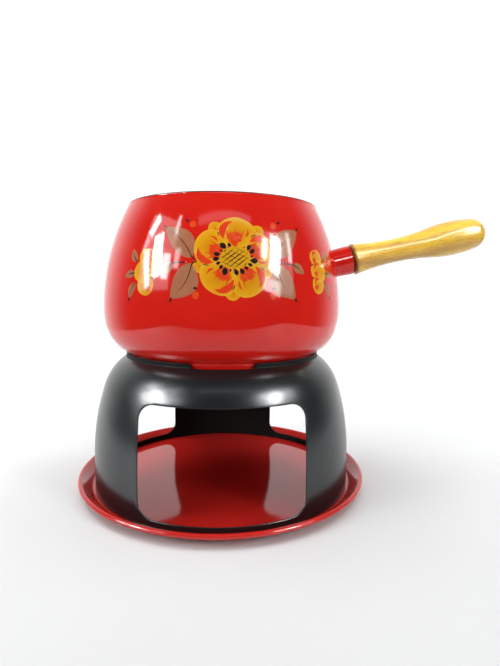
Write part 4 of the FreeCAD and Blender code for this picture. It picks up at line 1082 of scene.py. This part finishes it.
loop = []
for a in np.linspace(0, 2 * np.pi, 120, endpoint=False):
    lo_s, hi_s = 80.0, 104.0
    for _ in range(50):
        s = (lo_s + hi_s) / 2
        r = socket_radius(s)
        p = APEX + LEAN * s + SIDE * (r * math.cos(a)) + CROWN * (r * math.sin(a))
        inside = math.hypot(p.x, p.y) < float(pot_radius(p.z))
        lo_s, hi_s = (s, hi_s) if inside else (lo_s, s)
    loop.append((p, a, s))
weld_v, weld_f = [], []
TUBE = 8
for p, a, s in loop:
    out_dir = (SIDE * math.cos(a) + CROWN * math.sin(a)).normalized()
    radial = Vector((p.x, p.y, 0)).normalized()
    dr = (float(pot_radius(p.z + 0.2)) - float(pot_radius(p.z - 0.2))) / 0.4
    pn = (radial - Vector((0, 0, dr))).normalized()
    # concave-looking bead: a low triangle with a rounded face, feet on both walls
    foot_wall = p + (out_dir - pn * out_dir.dot(pn)).normalized() * 1.5 - pn * 0.02
    foot_tube = p + LEAN * 1.5 - out_dir * 0.02
    heel = p - pn * 0.4 - out_dir * 0.4
    belly = p + (out_dir + LEAN).normalized() * 0.62
    for q in (heel, foot_tube, foot_tube * 0.55 + belly * 0.45 - (out_dir + LEAN) * 0.10,
              belly, foot_wall * 0.55 + belly * 0.45 - (out_dir + LEAN) * 0.10, foot_wall):
        weld_v.append(tuple(q))
nq = 6
for i in range(len(loop)):
    i2 = (i + 1) % len(loop)
    for k in range(nq):
        k2 = (k + 1) % nq
        weld_f.append((i * nq + k, i * nq + k2, i2 * nq + k2, i2 * nq + k))
weld = mesh_object("socket_weld_bead", weld_v, weld_f, slots=[socket_red])
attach(weld, "pot")

for node, mat in (("handle_socket", socket_red), ("socket_plug", plug_steel), ("handle_washer", washer_mat)):
    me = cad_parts[node].data
    me.materials.clear()
    me.materials.append(mat)

# =================================================== floor, light and camera


def floor_material():
    m = Nodes("floor_pale")
    p = m.tc.outputs["Object"]
    n = m.noise(p, 3.0, 3.0, 0.5)
    sep = m.node("ShaderNodeSeparateXYZ", Vector=p)
    # painted shade: the floor is darker in front of and under the pot than further back
    depth = m.map(sep.outputs[1], -0.40, 0.05, 0.0, 1.0)
    near = m.mix(n, (0.390, 0.390, 0.390), (0.410, 0.410, 0.410))
    back = m.mix(n, (0.69, 0.69, 0.69), (0.71, 0.71, 0.71))
    m.colour(m.mix(depth, near, back))
    # painted light: away from the pot and towards the back the floor glows, so it reads white there
    reach = m.node("ShaderNodeVectorMath", p_operation="LENGTH", i0=p).outputs["Value"]
    painted_glow = m.math("MULTIPLY", m.map(reach, 0.22, 1.6, 0.0, 1.0, True),
                  m.map(sep.outputs[1], -0.30, 0.30, 0.0, 1.0, True))
    m.link(painted_glow, m.bsdf.inputs["Emission Strength"])
    m.set(Roughness=0.55, IOR=1.4, Emission_Color=(1.0, 1.0, 1.0, 1.0))
    return m.mat


# a table top: its near corners are rounded, its far edge is out of sight
table = [(-0.46, 30.0), (-0.46, -0.30)]
table += [(-0.32 + 0.14 * math.cos(a), -0.30 + 0.14 * math.sin(a)) for a in np.radians(np.linspace(180, 270, 13))[1:]]
table += [(0.48 + 0.14 * math.cos(a), -0.30 + 0.14 * math.sin(a)) for a in np.radians(np.linspace(270, 360, 13))]
table += [(0.62, 30.0)]
floor = mesh_object("floor_pale", [(x * 1000, y * 1000, -0.2) for x, y in table], [tuple(range(len(table)))],
                    smooth=False, slots=[floor_material()])

world = bpy.data.worlds.new("studio")
scene.world = world
world.use_nodes = True
wn = world.node_tree
wn.nodes.clear()
w_out = wn.nodes.new("ShaderNodeOutputWorld")
w_bg = wn.nodes.new("ShaderNodeBackground")
w_tc = wn.nodes.new("ShaderNodeTexCoord")
w_sep = wn.nodes.new("ShaderNodeSeparateXYZ")
w_map = wn.nodes.new("ShaderNodeMapRange")
w_map.interpolation_type = "SMOOTHSTEP"
w_map.inputs[1].default_value = 0.05
w_map.inputs[2].default_value = 0.72
w_map.inputs[3].default_value = 0.11
w_map.inputs[4].default_value = 1.15
wn.links.new(w_tc.outputs["Generated"], w_sep.inputs[0])
wn.links.new(w_sep.outputs[1], w_map.inputs[0])
w_path = wn.nodes.new("ShaderNodeLightPath")
w_soft = wn.nodes.new("ShaderNodeMix")          # what lights matt surfaces: a dim even room
w_soft.data_type = "FLOAT"
w_soft.inputs[3].default_value = 0.14
wn.links.new(w_path.outputs["Is Diffuse Ray"], w_soft.inputs[0])
wn.links.new(w_map.outputs[0], w_soft.inputs[2])
w_back = wn.nodes.new("ShaderNodeMix")          # what is seen directly: a plain white backdrop
w_back.data_type = "FLOAT"
w_back.inputs[3].default_value = 1.15
wn.links.new(w_path.outputs["Is Camera Ray"], w_back.inputs[0])
wn.links.new(w_soft.outputs[0], w_back.inputs[2])
wn.links.new(w_back.outputs[0], w_bg.inputs["Strength"])
w_bg.inputs["Color"].default_value = (1.0, 1.0, 1.0, 1.0)
wn.links.new(w_bg.outputs[0], w_out.inputs[0])

TARGET = Vector((0.0, 0.0, 0.17))


def softbox(name, azimuth, elevation, distance, width, height, radiance, roll=0.0):
    """Azimuth 0 is in front (-Y), positive towards +X."""
    a, e = math.radians(azimuth), math.radians(elevation)
    d = Vector((math.sin(a) * math.cos(e), -math.cos(a) * math.cos(e), math.sin(e)))
    data = bpy.data.lights.new(name, "AREA")
    data.shape = "RECTANGLE"
    data.size, data.size_y = width, height
    data.energy = radiance * math.pi * width * height
    data.color = (0.965, 0.99, 1.0)
    ob = bpy.data.objects.new(name, data)
    scene.collection.objects.link(ob)
    ob.location = TARGET + d * distance
    ob.rotation_euler = (d.to_track_quat("Z", "Y")).to_euler()
    ob.rotation_euler.rotate_axis("Z", math.radians(roll))
    ob.visible_camera = False
    return ob


def band(name, top, bottom, wide, radiance, distance=2.2):
    """A softbox that spans two directions (azimuth, elevation), wide in degrees."""
    az, el = (top[0] + bottom[0]) / 2, (top[1] + bottom[1]) / 2
    du = math.radians(top[0] - bottom[0]) * math.cos(math.radians(el))
    dv = math.radians(top[1] - bottom[1])
    return softbox(name, az, el, distance, 2 * distance * math.tan(math.radians(wide) / 2),
                   2 * distance * math.tan(math.hypot(du, dv) / 2), radiance, -math.degrees(math.atan2(du, dv)))


def pane(name, top, bottom, wide, radiance):
    """Part of a window: one light for everything, and one behind it that only gloss picks up."""
    band(name, top, bottom, wide, radiance * 0.42, 2.24)
    band(name + "_glare", top, bottom, wide, radiance * 1.05, 2.28).visible_diffuse = False


pane("window_left_sheer", (-70, 42), (-66, 8), 32, 1.9)
pane("window_left_edge", (-80, 40), (-83, 30), 6, 12)
pane("window_left_edge_low", (-83, 29), (-85, 22), 4, 4)
pane("window_left_core", (-71, 33), (-62, 15), 9, 34)
pane("window_left_fold_a", (-54, 46), (-52, 36), 2.5, 9)
pane("window_left_fold_b", (-80, 24), (-72, 9), 5, 20)
pane("window_left_fold_c", (-56, 26), (-56, 14), 7, 13)
pane("window_left_fold_d", (-46, 30), (-45, 20), 5, 7)
pane("window_right_sheer", (55, 38), (50, 8), 32, 1.7)
pane("window_right_core", (58, 35), (48, 18), 9, 36)
pane("window_right_fold_a", (46, 36), (40, 26), 5, 18)
pane("window_right_fold_b", (74, 34), (68, 21), 3.5, 9)
pane("window_right_fold_c", (46, 15), (44, 8), 16, 8)
softbox("ceiling_front", 2, 51, 2.2, 1.75, 0.22, 1.5)
overhead = softbox("overhead", 180, 82, 2.3, 2.6, 2.6, 1.2)
overhead.visible_glossy = False
for side, az, power in (("left", -66, 2.0), ("right", 56, 0.2)):
    high = softbox("high_" + side, az, 50, 2.2, 1.2, 1.0, power)
    high.visible_glossy = False
for side, az, power in (("left", -108, 4.8), ("right", 100, 4.0)):
    fill = softbox("fill_" + side, az, 56, 2.2, 1.2, 1.2, power)
    fill.visible_glossy = False
for side, az, power in (("left", -40, 2.6), ("right", 44, 3.8)):
    low = softbox("low_" + side, az, 10, 2.2, 1.0, 0.7, power)
    low.visible_glossy = False
grip_lit = bpy.data.collections.new("grip_lit")
grip_lit.objects.link(grip)
grip_soft = softbox("grip_soft", 10, 45, 2.2, 1.2, 1.2, 3.8)
grip_soft.visible_glossy = False
grip_soft.light_linking.receiver_collection = grip_lit
lit = bpy.data.collections.new("handle_lit")
lit.objects.link(grip)
lit.objects.link(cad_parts["handle_socket"])
for name, top, bottom, wide, power in (("long", (56, 48), (2, 24), 6, 15), ("socket", (10, 20), (4, 16), 5, 20)):
    glint = band("handle_glint_" + name, top, bottom, wide, power, 2.4)
    glint.visible_diffuse = False
    glint.light_linking.receiver_collection = lit

scene.view_settings.view_transform = "Standard"
scene.view_settings.look = "None"
scene.view_settings.exposure = 0.0
scene.view_settings.gamma = 1.0

YAW, PITCH_C, ROLL = 0.0585, 0.1037, 0.0087
fwd_h = Vector((math.sin(YAW), math.cos(YAW), 0))
right0 = Vector((math.cos(YAW), -math.sin(YAW), 0))
zed = Vector((0, 0, 1))
forward = fwd_h * math.cos(PITCH_C) - zed * math.sin(PITCH_C)
up0 = fwd_h * math.sin(PITCH_C) + zed * math.cos(PITCH_C)
right = right0 * math.cos(ROLL) + up0 * math.sin(ROLL)
up = up0 * math.cos(ROLL) - right0 * math.sin(ROLL)
cam_data = bpy.data.cameras.new("camera")
cam_data.sensor_width = 36.0
cam_data.lens = 463.88 / 666.0 * 36.0
cam = bpy.data.objects.new("camera", cam_data)
scene.collection.objects.link(cam)
m4 = Matrix.Identity(4)
for col, v in ((0, right), (1, up), (2, -forward)):
    for row in range(3):
        m4[row][col] = v[row]
m4[0][3], m4[1][3], m4[2][3] = 0.0, -0.38803, 0.16262
cam.matrix_world = m4
cam_data.clip_start, cam_data.clip_end = 0.01, 200.0
scene.camera = cam
